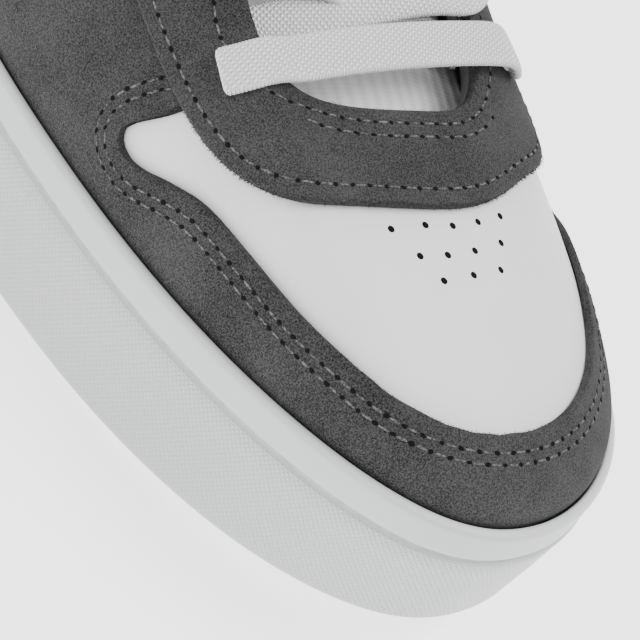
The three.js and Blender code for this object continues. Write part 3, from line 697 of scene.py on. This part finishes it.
# %% Suede wrap
# Path of the panel's upper edge, closed round the foot: station, height share, station of the lip below it.
WRAP_EDGE = (
    (0, 0.342, 0), (0.65, 0.336, 0.65), (1.25, 0.342, 1.25), (1.75, 0.356, 1.75), (2.2, 0.35, 2.2),
    (2.6, 0.347, 2.62), (2.94, 0.334, 2.98), (3.12, 0.314, 3.2), (3.28, 0.282, 3.43), (3.43, 0.248, 3.65),
    (3.57, 0.212, 3.86), (3.69, 0.192, 4.04), (3.77, 0.2, 4.16), (3.79, 0.225, 4.26), (3.77, 0.257, 4.36),
    (3.71, 0.298, 4.48), (3.61, 0.352, 4.64), (3.5, 0.403, 4.79), (3.4, 0.438, 4.92), (3.3, 0.49, 5.04),
    (3.5, 0.56, 5.2), (4.2, 0.6, 5.6), (5.2, 0.66, 6.15), (6.2, 0.75, 6.6), (6.75, 0.9, 6.85),
    (7, 1, 7.05), (8, 1, 8), (9, 1, 9), (10, 1, 10), (11, 1, 11),
    (12, 1, 12), (13, 1, 13), (14, 1, 14), (15, 1, 14.95), (15.25, 0.9, 15.1), (15.8, 0.76, 15.35),
    (16.7, 0.68, 15.8), (17.6, 0.63, 16.3), (18.4, 0.6, 16.8), (18.64, 0.52, 17.05), (18.56, 0.45, 17.25),
    (18.44, 0.39, 17.55), (18.36, 0.34, 17.75), (18.34, 0.29, 17.9), (18.42, 0.262, 18.1),
    (18.58, 0.275, 18.32), (18.8, 0.315, 18.65), (19.1, 0.36, 19.05), (19.5, 0.388, 19.5),
    (19.9, 0.385, 19.9), (20.3, 0.366, 20.3), (20.75, 0.358, 20.75), (21.3, 0.352, 21.3), (22, 0.342, 22),
)
ROW_MM = np.array([12, 45, 12])  # about how far one station and one height share reach


def curve_through(knots, closed=False):
    """Points of a centripetal Catmull-Rom curve through the knots."""
    knots = np.array(knots, float)
    ends = (knots[-1:], knots[:2]) if closed else (2 * knots[:1] - knots[1:2], 2 * knots[-1:] - knots[-2:-1])
    knots = np.concatenate([ends[0], knots, ends[1]])
    parts = []
    for i in range(1, len(knots) - 2):
        a, b, c, d = knots[i - 1:i + 3]
        ta = 0.0
        tb = ta + np.linalg.norm(b - a) ** 0.5
        tc = tb + np.linalg.norm(c - b) ** 0.5
        td = tc + np.linalg.norm(d - c) ** 0.5
        t = np.linspace(tb, tc, 12, endpoint=False)[:, None]
        ab = a + (b - a) * (t - ta) / (tb - ta)
        bc = b + (c - b) * (t - tb) / (tc - tb)
        cd = c + (d - c) * (t - tc) / (td - tc)
        abc = ab + (bc - ab) * (t - ta) / (tc - ta)
        bcd = bc + (cd - bc) * (t - tb) / (td - tb)
        parts.append(abc + (bcd - abc) * (t - tb) / (tc - tb))
    return np.concatenate(parts + [knots[-2:-1]])


def spaced(path, pitch):
    """Resamples a path of (station, height, ...) so that its points lie evenly on the last."""
    length = running_length(surface(path[:, 0], path[:, 1]))
    at = np.linspace(0, length[-1], max(2, round(length[-1] / pitch)) + 1)
    return np.stack([np.interp(at, length, column) for column in path.T], 1)


wrap_edge = spaced(curve_through(WRAP_EDGE * ROW_MM) / ROW_MM, 1.2)
rng = np.random.default_rng(7)
TUCK = -0.3


def fuzz(count, size):
    """A small smooth wander, for cut edges."""
    noise = rng.normal(size=count + 8)
    return size * np.convolve(noise, (0.3, 0.7, 0.3), "same")[4:-4]


def suede_wrap():
    s, t, lip = wrap_edge.T
    at_lip = s + (lip - s) * t / (t - TUCK)
    reach = np.linalg.norm(surface(s, t) - surface(at_lip, 0 * t), axis=-1)
    ragged = fuzz(len(s), 0.09)
    ragged[-1] = ragged[0]

    def column(share, lift):
        height = t * (1 - share)
        return skin(s + (at_lip - s) * share, height, lift + 0 * t)

    edge = ((0, -SUEDE), (0, -0.5), (0.12, -0.2), (0.35, -0.05), (0.7, 0), (1.4, 0))
    columns = [column((mm + ragged * (lift > -1)) / reach, lift) for mm, lift in edge]
    columns += [column(1.4 / reach + (1 - 1.4 / reach) * u, 0) for u in np.linspace(0, 1, 20)[1:]]
    columns += [skin(lip, TUCK + 0 * t, 0 * t), skin(lip, TUCK + 0 * t, 0 * t - SUEDE)]
    columns += [column(u, -SUEDE) for u in np.linspace(1, 0, 14)[:-1]] + [columns[0]]
    return np.stack(columns, 1)


wrap_piece = new_piece("suede_wrap", finish_sheet(sheet(suede_wrap())), suede, "mudguard")

# %% [markdown]
# ## Eyestay and heel counter
#
# These panels lie on top of the others, so their lower edges stand up as a step. The eyestay carries the
# eyelets along the throat and crosses the vamp in front of it. The heel counter stiffens the back.

# %% Eyestay and heel counter
STAY_END = 7.1
COUNTER_END = 1.7
COUNTER_TOP = 0.68


def panel(stations, low, high, edge_low, edge_high, middle):
    """Columns from a low to a high path. An edge is (mm inwards, lift), from the back of the panel."""
    reach = np.linalg.norm(surface(stations, low) - surface(stations, high), axis=-1)
    columns = []
    for mm, lift in edge_low:
        share = (mm + fuzz(len(stations), 0.07) * (lift > -1)) / reach
        columns.append(skin(stations, low + (high - low) * share, lift + 0 * low))
    start, end = edge_low[-1][0] / reach, 1 - edge_high[0][0] / reach
    for u in np.linspace(0, 1, middle)[1:-1]:
        height = low + (high - low) * (start + (end - start) * u)
        columns.append(skin(stations, height, edge_low[-1][1] + 0 * low))
    for mm, lift in edge_high:
        columns.append(skin(stations, high - (high - low) * mm / reach, lift + 0 * low))
    for u in np.linspace(0, 1, 12)[1:-1]:
        columns.append(skin(stations, high - (high - low) * u, -SUEDE + 0 * low))
    columns.append(columns[0])
    return np.stack(columns, 1)


CUT_EDGE = ((0, -SUEDE), (0, 0.1), (0.12, 0.45), (0.35, 0.68), (0.75, 0.78), (1.5, OVERLAY_STEP))
ROUND_EDGE = CUT_EDGE[::-1]
COUNTER_FOOT = ((0, -SUEDE), (0, 0), (1, 0.1), (1.8, 0.5), (2.6, OVERLAY_STEP))

stay_path = spaced(np.stack([np.linspace(-STAY_END, STAY_END, 400), np.full(400, 0.9)], 1), 1.1)[:, 0]
stay_mesh = sheet(panel(stay_path, section(stay_path)["stay"], 1 + 0 * stay_path, CUT_EDGE, ROUND_EDGE, 16))
stay_piece = new_piece("eyestay_suede", finish_sheet(stay_mesh, close_holes=True), suede, "eyestay")

counter_path = np.linspace(HEEL - COUNTER_END, HEEL + COUNTER_END, 72)
counter_mesh = sheet(panel(counter_path, -0.02 + 0 * counter_path, COUNTER_TOP + 0 * counter_path,
                           COUNTER_FOOT, ROUND_EDGE, 16))
finish_sheet(counter_mesh, close_holes=True)
counter_piece = new_piece("heel_counter_suede", counter_mesh, suede, "heel_counter")

# %% [markdown]
# ## Collar
#
# A roll of foam under cloth lines the top line from one end of the eyestay to the other. Its section is a
# closed curve that hangs inside the leather and rises just over it.

# %% Collar
PAD_END = 10 / 3
PAD_SECTION = np.array([  # height share, millimetres above it, lift
    (0.62, 0, LINING - 0.3), (0.8, 0, LINING - 0.2), (0.95, 0, LINING - 0.2), (1, 0.7, LINING),
    (1, 1.7, LINING - 0.6), (1, PAD_RISE, LINING - 2.4), (1, 2, LINING - 4.6), (1, 0.6, LINING - 6.4),
    (0.92, 0, LINING - PAD_THICKNESS), (0.8, 0, LINING - 6.8), (0.7, 0, LINING - 4.6), (0.64, 0, LINING - 2)])
PAD_SCALE = np.array([60, 1, 1])
pad_profile = curve_through(PAD_SECTION * PAD_SCALE, closed=True)[::3] / PAD_SCALE
pad_stations = np.linspace(HEEL - PAD_END, HEEL + PAD_END, 200)
pad_columns = np.stack([skin(pad_stations, t + 0 * pad_stations, lift + 0 * pad_stations) + (0, 0, up)
                        for t, up, lift in pad_profile], 1)
from_end = np.clip((PAD_END - np.abs(pad_stations - HEEL)) / 0.3, 0, 1)
swell = np.sqrt(1 - (1 - from_end) ** 2)[:, None, None]
pad_middle = pad_columns[:, :-1].mean(axis=1, keepdims=True)
pad_points = pad_middle + (pad_columns - pad_middle) * np.maximum(swell, 0.02)
pad_piece = new_piece("collar_roll", finish_sheet(sheet(pad_points), close_holes=True), cloth, "collar_pad")

# %% [markdown]
# ## Tongue
#
# The tongue is a long pad of foam between two layers of ribbed knit. It starts under the front of the
# throat, follows the instep under the laces and stands free above the top eyelets, bent round the shin.

# %% Tongue
TONGUE_THICKNESS = 5
TONGUE_CROWN = 6.5
TONGUE_TUCK = 0.25
TONGUE_IN = ((0, 0), (0.7, 0), (1.4, 0.1), (2, 0.25), (2.7, 0.5), (3.5, 0.8), (4.3, 1), (5.1, 1), (5.7, 1),
             (6.2, 1))
TONGUE_OUT = ((-0.098, 1, 0.165, 0.6), (-0.117, 1.08, 0.22, 1), (-0.138, 1.17, 0.27, 1.4),
              (-0.157, 1.26, 0.29, 1.6), (-0.171, 1.34, 0.28, 1.6), (-0.18, 1.39, 0.24, 1.3),
              (-0.185, 1.415, 0.16, 0.7))
TONGUE_ACROSS = 60
TONGUE_WIDTHS = np.sin(np.linspace(-math.pi / 2, math.pi / 2, TONGUE_ACROSS + 1))


def tongue_rows():
    w = TONGUE_WIDTHS
    arch = (1 - w * w) ** 1.5
    rows = []
    under_laces = LINING - LACE_THICKNESS - 3 * GAP
    for s, crown in TONGUE_IN:
        outer, inner = (skin(side * s, 1 - TONGUE_TUCK, under_laces) for side in (1, -1))
        row = outer + (inner - outer) * (w[:, None] + 1) / 2
        row[:, 2] += TONGUE_CROWN * crown * arch
        rows.append(row)
    middle = rows[-1][TONGUE_ACROSS // 2, 1]
    for along, height, half, crown in TONGUE_OUT:
        top = SIDE_HEIGHT + height * INSTEP_RISE - TONGUE_CROWN * crown * (1 - arch)
        rows.append(stack(along * LENGTH - PLAN_MIDDLE[0], middle + w * half * BALL_WIDTH, top))
    return np.array(rows)


def along_rows(rows, steps):
    """Smooth rows between the given rows, by arc length of the middle one."""
    count = len(rows)
    flat = curve_through(rows.reshape(count, -1))
    middle = flat.reshape(len(flat), -1, 3)[:, rows.shape[1] // 2]
    length = running_length(middle)
    at = np.linspace(0, length[-1], steps)
    return np.stack([np.interp(at, length, column) for column in flat.T], 1).reshape(steps, -1, 3)


tongue_top = along_rows(tongue_rows(), 180)
heading = np.gradient(tongue_top[:, TONGUE_ACROSS // 2], axis=0)
down = np.stack([heading[:, 2], 0 * heading[:, 0], -heading[:, 0]], -1)
down *= -TONGUE_THICKNESS / np.linalg.norm(down, axis=-1, keepdims=True)
tongue_along = running_length(tongue_top[:, TONGUE_ACROSS // 2])
to_end = np.clip((tongue_along[-1] - tongue_along) / 3, 0, 1)
plump = np.sqrt(1 - (1 - to_end) ** 2)[:, None] * (1 - np.abs(TONGUE_WIDTHS) ** 14) ** 0.5
tongue_middle = tongue_top + down[:, None] / 2
tongue_half = down[:, None] / 2 * plump[..., None]
tongue_faces = (tongue_middle - tongue_half, tongue_middle + tongue_half)
tongue_mesh = bmesh.new()
side_mm = np.linalg.norm(np.diff(tongue_top, axis=1), axis=-1).mean(0)
tongue_side = np.concatenate([[0], np.cumsum(side_mm)]) - side_mm.sum() / 2
tongue_uv = np.stack(np.broadcast_arrays(tongue_along[:, None], tongue_side[None]), -1)
for face in tongue_faces:
    sheet(face, tongue_uv, tongue_mesh)
finish_sheet(tongue_mesh, close_holes=True)
tongue = new_piece("tongue_pad", tongue_mesh, knit, "tongue")

# %% [markdown]
# ## Laces
#
# One flat lace is threaded from the toe up. It lies as a bar over the first pair of eyelets and goes down
# through both. Each end then runs under the leather to the edge of the throat, crosses over and goes down
# through the next hole on the other side. Each strand is a ribbon swept along its route. Where it goes down
# it is gathered into a round cord, which the ribbon's folded end hides.

# %% Laces
# One row a pair, from the toe up: station and height share of the hole on the outer side, the stations where
# the lace crosses the edge of the opening over the eyestay and under it, then the same on the inner side.
EYELETS = (
    ((2.72, 0.74, 1.45, 2.45), (-2.95, 0.77, -1.95, -2.4)),
    ((3.62, 0.76, 3, 3.2), (-3.68, 0.79, -2.8, -3.37)),
    ((4.35, 0.79, 4, 4.18), (-4.42, 0.8, -4.06, -4.26)),
    ((5.05, 0.81, 4.83, 5), (-5.12, 0.82, -4.9, -5.08)),
    ((5.75, 0.82, 5.63, 5.78), (-5.8, 0.83, -5.67, -5.84)),
    ((6.4, 0.84, 6.41, 6.41), (-6.42, 0.85, -6.44, -6.44)),
)
EYELET_RADIUS = 2.2
LACE_OVER = OVERLAY_STEP + 0.35 + LACE_THICKNESS / 2
LACE_UNDER = LINING - GAP - LACE_THICKNESS / 2
LACE_BOW = 0.7
BAR_BOW = 1.1
WALK_STEP = 2.5
BAR_BULGE = 2.4  # the bar's slack over the inner side of the eyestay
END_ROUND = 1.1
SLACK_ROUND = 3
GATHERED = 1.9
SMOOTHINGS = 150  # passes over a route's points, so that the ribbon bends softly


def plan_heading(start, end):
    heading = (surface(*end) - surface(*start)) * (1, 1, 0)
    return heading / np.linalg.norm(heading)


def walk(hole, edge_station):
    """Stations and heights from a hole, straight in plan, to the opening's edge at another station."""
    heading = plan_heading(hole[:2], (edge_station, 1))
    s, t = hole[:2]
    path = [(s, t)]
    while t < 0.9999:
        ahead = min(t + NUDGE, 1)
        around = (surface(s + NUDGE, t) - surface(s - NUDGE, t)) / (2 * NUDGE)
        up = (surface(s, ahead) - surface(s, t - NUDGE)) / (ahead - t + NUDGE)
        by_s, by_t = np.linalg.solve(np.stack([around[:2], up[:2]], 1), heading[:2])
        stride = min(WALK_STEP, (1 - t) / by_t)
        s, t = s + by_s * stride, t + by_t * stride
        path.append((s, t))
    return path, heading


def knot(s, t, lift, heading, onwards=0):
    """A point of the route and the direction across the ribbon there."""
    across = np.cross(surface_normal(s, t), heading)
    return skin(s, t, lift) + heading * onwards, across / np.linalg.norm(across)


def over_stay(hole, bulge=0):
    path, heading = walk(hole, hole[2])
    swell = bulge * np.sin(np.linspace(0, 0.75 * math.pi, len(path)))
    knots = [knot(s, t, LACE_OVER + up, heading) for (s, t), up in zip(path, swell)]
    back = knots[0][0] - knots[1][0]
    back *= 1.2 * EYELET_RADIUS / np.linalg.norm(back)
    knots.insert(0, (knots[0][0] + back, knots[0][1]))
    edge, edge_across = knots[-1]
    onwards = edge - knots[-2][0]
    knots[-1] = (edge + onwards * LACE_THICKNESS / np.linalg.norm(onwards), edge_across)
    return knots


def from_under(hole, opposite):
    path, _ = walk(hole, hole[3])
    heading = plan_heading((hole[3], 1), (opposite[2], 1))
    first = -3 if hole in EYELETS[0] else 0  # the front pair's run is in shadow, so it starts near the edge
    near = [knot(s, t, LACE_UNDER, heading) for s, t in path[first:-1]]
    return near + [knot(*path[-1], LACE_UNDER, heading, LACE_THICKNESS + 2 * GAP)]


def through_hole(mesh, hole):
    s, t = hole[:2]
    low = SHELL_INSIDE if hole in EYELETS[0] else LACE_UNDER
    depth = (LACE_OVER - low) * MM
    place = frame_at(skin(s, t, (LACE_OVER + low) / 2), surface(s + NUDGE, t) - surface(s, t),
                     surface_normal(s, t))
    bmesh.ops.create_cone(mesh, cap_ends=True, segments=24, radius1=GATHERED * MM, radius2=GATHERED * MM,
                          depth=depth, matrix=place)


def strand(start, end, rise):
    end = [(point, -across) for point, across in end[::-1]]
    (a, across_a), (b, across_b) = start[-1], end[0]
    span = [(a + (b - a) * u + (0, 0, rise(u)), across_a + (across_b - across_a) * u)
            for u in np.linspace(0, 1, 7)[1:-1]]
    path = curve_through([np.concatenate(step) for step in start + span + end])
    at = running_length(path[:, :3])
    steps = np.linspace(0, at[-1], int(at[-1] / 0.3))
    path = np.stack([np.interp(steps, at, column) for column in path.T], 1)
    for _ in range(SMOOTHINGS):
        path[1:-1] = (path[:-2] + 2 * path[1:-1] + path[2:]) / 4
    points, across = path[:, :3], path[:, 3:]
    run = np.gradient(points, axis=0)
    run /= np.linalg.norm(run, axis=-1, keepdims=True)
    across = across - run * np.sum(across * run, axis=-1, keepdims=True)
    across /= np.linalg.norm(across, axis=-1, keepdims=True)
    return points, across, np.cross(run, across), steps


LACE_SECTION = [math.radians(a) for a in range(0, 361, 15)]


def ribbon(points, across, up, along, mesh=None, end_round=END_ROUND):
    columns, uv = [], []
    from_end = np.minimum(along, along[-1] - along)
    plump = np.sqrt(1 - (1 - np.clip(from_end / 0.9, 0, 1)) ** 2)
    turn = np.where(along < along[-1] / 2, END_ROUND, end_round)
    corner = turn - np.sqrt(turn ** 2 - (turn - np.minimum(from_end, turn)) ** 2)
    loops = 0.07 * np.abs(np.sin(along * math.pi / 0.6))
    for a in LACE_SECTION:
        c, s = math.cos(a), math.sin(a)
        wide = math.copysign(abs(c) ** 0.45, c) * (LACE_WIDTH / 2 - 0.07 + loops - corner)[:, None]
        high = math.copysign(abs(s) ** 0.7, s) * LACE_THICKNESS / 2 * np.maximum(plump, 0.02)[:, None]
        columns.append(points + across * wide + up * high)
        uv.append(np.stack([along, wide[:, 0]], 1))
    return sheet(np.stack(columns, 1), np.stack(uv, 1), mesh)


def lace_rise(bow):
    return lambda u: 6.75 * bow * u * u * (1 - u)


front = EYELETS[0]
bar_route = strand(over_stay(front[0]), over_stay(front[1], BAR_BULGE), lambda u: 4 * BAR_BOW * u * (1 - u))
bar = ribbon(*bar_route, end_round=SLACK_ROUND)
for hole in front:
    through_hole(bar, hole)
lace_length = bar_route[-1][-1]
bar_piece = new_piece("lace_bar_weave", finish_sheet(bar, close_holes=True), weave, "lace_bar")

for i, ((here_out, here_in), (next_out, next_in)) in enumerate(zip(EYELETS, EYELETS[1:]), 1):
    low = strand(from_under(here_in, next_out), over_stay(next_out), lace_rise(LACE_BOW))
    high = strand(from_under(here_out, next_in), over_stay(next_in), lace_rise(LACE_BOW + LACE_THICKNESS))
    both = ribbon(*high, ribbon(*low))
    for hole in (next_out, next_in):
        through_hole(both, hole)
    lace_length += low[-1][-1] + high[-1][-1]
    crossing = new_piece(f"lace_crossing_weave_{i}", finish_sheet(both, close_holes=True), weave,
                         f"lace_crossing_{i}")
print("lace:", round(lace_length), "mm of ribbon")

# %% [markdown]
# ## Stitches
#
# Each panel is sewn down close to its edge. A stitch is a short bead of thread between two needle holes,
# so a row is a path at a set distance from an edge, with a bead and a dark hole at every pitch. Each hole is
# a flat dark bead, painted shade in place of an opening. No two holes are punched alike, so their sizes and
# turns vary a little.

# %% Stitches
PITCH = 3.15
THREAD_SHARE, THREAD_WIDE, THREAD_HIGH = 0.33, 0.19, 0.16  # half sizes, the first as a share of the stitch
HOLE_LONG, HOLE_WIDE, HOLE_HIGH = 0.48, 0.35, 0.08  # half sizes in millimetres
RAND_ROWS = (3.1, 5.0)  # millimetres from the edge, as are the rows below
OVERLAY_ROW = 2.6
THROAT_ROW_TWO = 5.2
TOP_LINE_ROW = 3


def shifted(path, distance, steps=8):
    """Moves a path of (station, height) sideways over the last, by millimetres up the wall."""
    path = path[:, :2].copy()
    distance = np.broadcast_to(np.reshape(distance, (-1, 1)), (len(path), 1))
    for _ in range(steps):
        s, t = path.T
        by_s = (surface(s + NUDGE, t) - surface(s - NUDGE, t)) / (2 * NUDGE)
        by_t = (surface(s, np.clip(t + NUDGE, -1, 1)) - surface(s, np.clip(t - NUDGE, -1, 1)))
        by_t /= (np.clip(t + NUDGE, -1, 1) - np.clip(t - NUDGE, -1, 1))[:, None]
        run = np.gradient(surface(s, t), axis=0)
        side = np.cross(run, surface_normal(s, t))
        side *= distance / steps / np.linalg.norm(side, axis=-1, keepdims=True)
        ss, st, tt = (np.sum(a * b, -1) for a, b in ((by_s, by_s), (by_s, by_t), (by_t, by_t)))
        sd, td = np.sum(by_s * side, -1), np.sum(by_t * side, -1)
        det = ss * tt - st * st
        path += np.stack([(sd * tt - td * st) / det, (td * ss - sd * st) / det], 1)
    return path


def bead(mesh, centre, along, normal, sizes):
    shape = frame_at(centre, along, normal) @ Matrix.Diagonal((*[size * MM for size in sizes], 1))
    bmesh.ops.create_uvsphere(mesh, u_segments=8, v_segments=6, radius=1, matrix=shape)


threads, holes = bmesh.new(), bmesh.new()


def gather(mesh, row):
    """Adds a small finished row to the mesh of all of them, which is quicker than growing a big one."""
    part = bpy.data.meshes.new("part")
    row.to_mesh(part)
    row.free()
    mesh.from_mesh(part)
    bpy.data.meshes.remove(part)


def stitch(path, lift):
    path = spaced(path, PITCH)
    thread_row, hole_row = bmesh.new(), bmesh.new()
    s, t = path.T[:2]
    points = skin(s, t, lift + 0 * s)
    normals = surface_normal(s, t)
    for a, b, normal in zip(points, points[1:], normals):
        along = b - a
        reach = np.linalg.norm(along)
        long, wide, turn = rng.uniform(0.85, 1.25, 3)
        thread_sizes = (reach * THREAD_SHARE, THREAD_WIDE * wide, THREAD_HIGH)
        bead(thread_row, (a + b) / 2 + normal * 0.03, along, normal, thread_sizes)
        slewed = along + np.cross(normal, along) * (turn - 1) * 2
        # the needle hole: a flat dark bead, painted shade in place of an opening
        bead(hole_row, a, slewed, normal, (HOLE_LONG * long, HOLE_WIDE * wide, HOLE_HIGH))
    gather(threads, thread_row)
    gather(holes, hole_row)


rand = wrap_edge[(wrap_edge[:, 0] < 3.9) | (wrap_edge[:, 0] > 18.2)]
outer_half = rand[rand[:, 0] < HEEL]
inner_half = rand[rand[:, 0] > HEEL]
outer_half = outer_half[:np.argmax((outer_half[:, 1] > 0.46))]
inner_half = inner_half[len(inner_half) - np.argmax(inner_half[::-1, 1] > 0.47):]
rand = np.concatenate([inner_half - (STATIONS, 0, STATIONS), outer_half[1:]])
for inset in RAND_ROWS:
    row = shifted(rand, -inset)
    stitch(row, 0)
print("rand stitched from station", rand[0, 0].round(2), "to", rand[-1, 0].round(2))

stay_edge = np.stack([stay_path, section(stay_path)["stay"]], 1)
stitch(shifted(stay_edge, OVERLAY_ROW), OVERLAY_STEP)
throat = np.stack([stay_path, 0.999 + 0 * stay_path], 1)
THROAT_INSET = ((-7, 3.5), (-2.5, 3.8), (-1.6, 2.7), (1.2, 2.7), (1.75, 4.8), (2.3, 5.6), (2.8, 4.6),
                (3.1, 3.5), (7, 3.5))  # station and millimetres from the edge
throat_inset = np.interp(stay_path, *zip(*THROAT_INSET))
stitch(shifted(throat, -throat_inset), OVERLAY_STEP)
stitch(shifted(throat[(stay_path > -1.25) & (stay_path < 1.3)], -THROAT_ROW_TWO), OVERLAY_STEP)
top_line = np.stack([np.linspace(7.3, 14.7, 300), np.full(300, 0.999)], 1)
stitch(shifted(top_line, -TOP_LINE_ROW), 0)
counter_edge = np.array([(HEEL - COUNTER_END + 0.09, t) for t in np.linspace(0.06, 0.62, 20)]
                        + [(s, 0.64) for s in np.linspace(HEEL - 1.6, HEEL + 1.6, 60)]
                        + [(HEEL + COUNTER_END - 0.09, t) for t in np.linspace(0.62, 0.06, 20)])
stitch(counter_edge, OVERLAY_STEP)

threads_piece = new_piece("stitch_thread", threads, thread)
holes_piece = new_piece("needle_holes", holes, pit)

# %% [markdown]
# ## Nap on the cut edges
#
# The suede's fibres stand out over a cut edge, which makes it look soft against the pale leather. Each is a
# thin spike that leans away from the panel.

# %% Nap on the cut edges
FIBRE_RADIUS = 0.07


def fringe(mesh, path, lift, away, density, length):
    """Spikes along a path of (station, height), leaning to the side of away, with density of them a mm."""
    at = spaced(path[:, :2], 1 / density)
    s, t = at.T
    s, t = s + rng.normal(0, 0.004, len(s)), t + rng.normal(0, 0.001, len(t))
    heights = rng.uniform(-SUEDE, lift, len(s)) * rng.uniform(0, 1, len(s)) ** 0.5
    points = skin(s, t, heights)
    normals = surface_normal(s, t)
    sides = np.cross(np.gradient(surface(s, t), axis=0), normals) * away
    sides /= np.linalg.norm(sides, axis=-1, keepdims=True)
    row = bmesh.new()
    for point, side, normal in zip(points, sides, normals):
        lean = side + normal * rng.normal(0.15, 0.3) + rng.normal(0, 0.35, 3)
        reach = length * rng.uniform(0.3, 1)
        place = frame_at(point, np.cross(lean, normal), lean / np.linalg.norm(lean))
        shape = place @ Matrix.Translation((0, 0, 0.3 * reach * MM))
        bmesh.ops.create_cone(row, cap_ends=True, segments=3, radius1=FIBRE_RADIUS * MM, radius2=0,
                              depth=reach * MM, matrix=shape)
    gather(mesh, row)


fringes = bmesh.new()
stay_front = stay_edge[np.abs(stay_path) < 4.2]
fringe(fringes, stay_front, OVERLAY_STEP, away=-1, density=12, length=1)
fringe(fringes, rand, 0, away=1, density=5, length=0.5)
fringe(fringes, throat[np.abs(stay_path) < 3], OVERLAY_STEP, away=1, density=5, length=0.5)
fringe_piece = new_piece("suede_nap_edges", fringes, suede)

# %% [markdown]
# ## Vent holes
#
# A small patch of round holes is punched through the vamp leather over the toes. They are dark inside: each
# is a flat dark disc on the leather, painted shade in place of the opening.

# %% Vent holes
VENTS = ((0.65, 0.768), (0.26, 0.786), (-0.08, 0.786), (-0.52, 0.786), (-1.03, 0.769), (0.44, 0.722),
         (0.12, 0.729), (-0.28, 0.735), (-0.82, 0.729), (0.27, 0.677), (-0.13, 0.689), (-0.61, 0.686))
VENT_RADIUS = 0.62
vents = bmesh.new()
for s, t in VENTS:
    centre = skin(s, t, SHELL_OUTSIDE + 0.03)
    place = frame_at(centre, surface(s + NUDGE, t) - surface(s, t), surface_normal(s, t))
    bmesh.ops.create_circle(vents, cap_ends=True, segments=20, radius=VENT_RADIUS * MM, matrix=place)
vents_piece = new_piece("vent_holes", vents, pit, smooth=False)
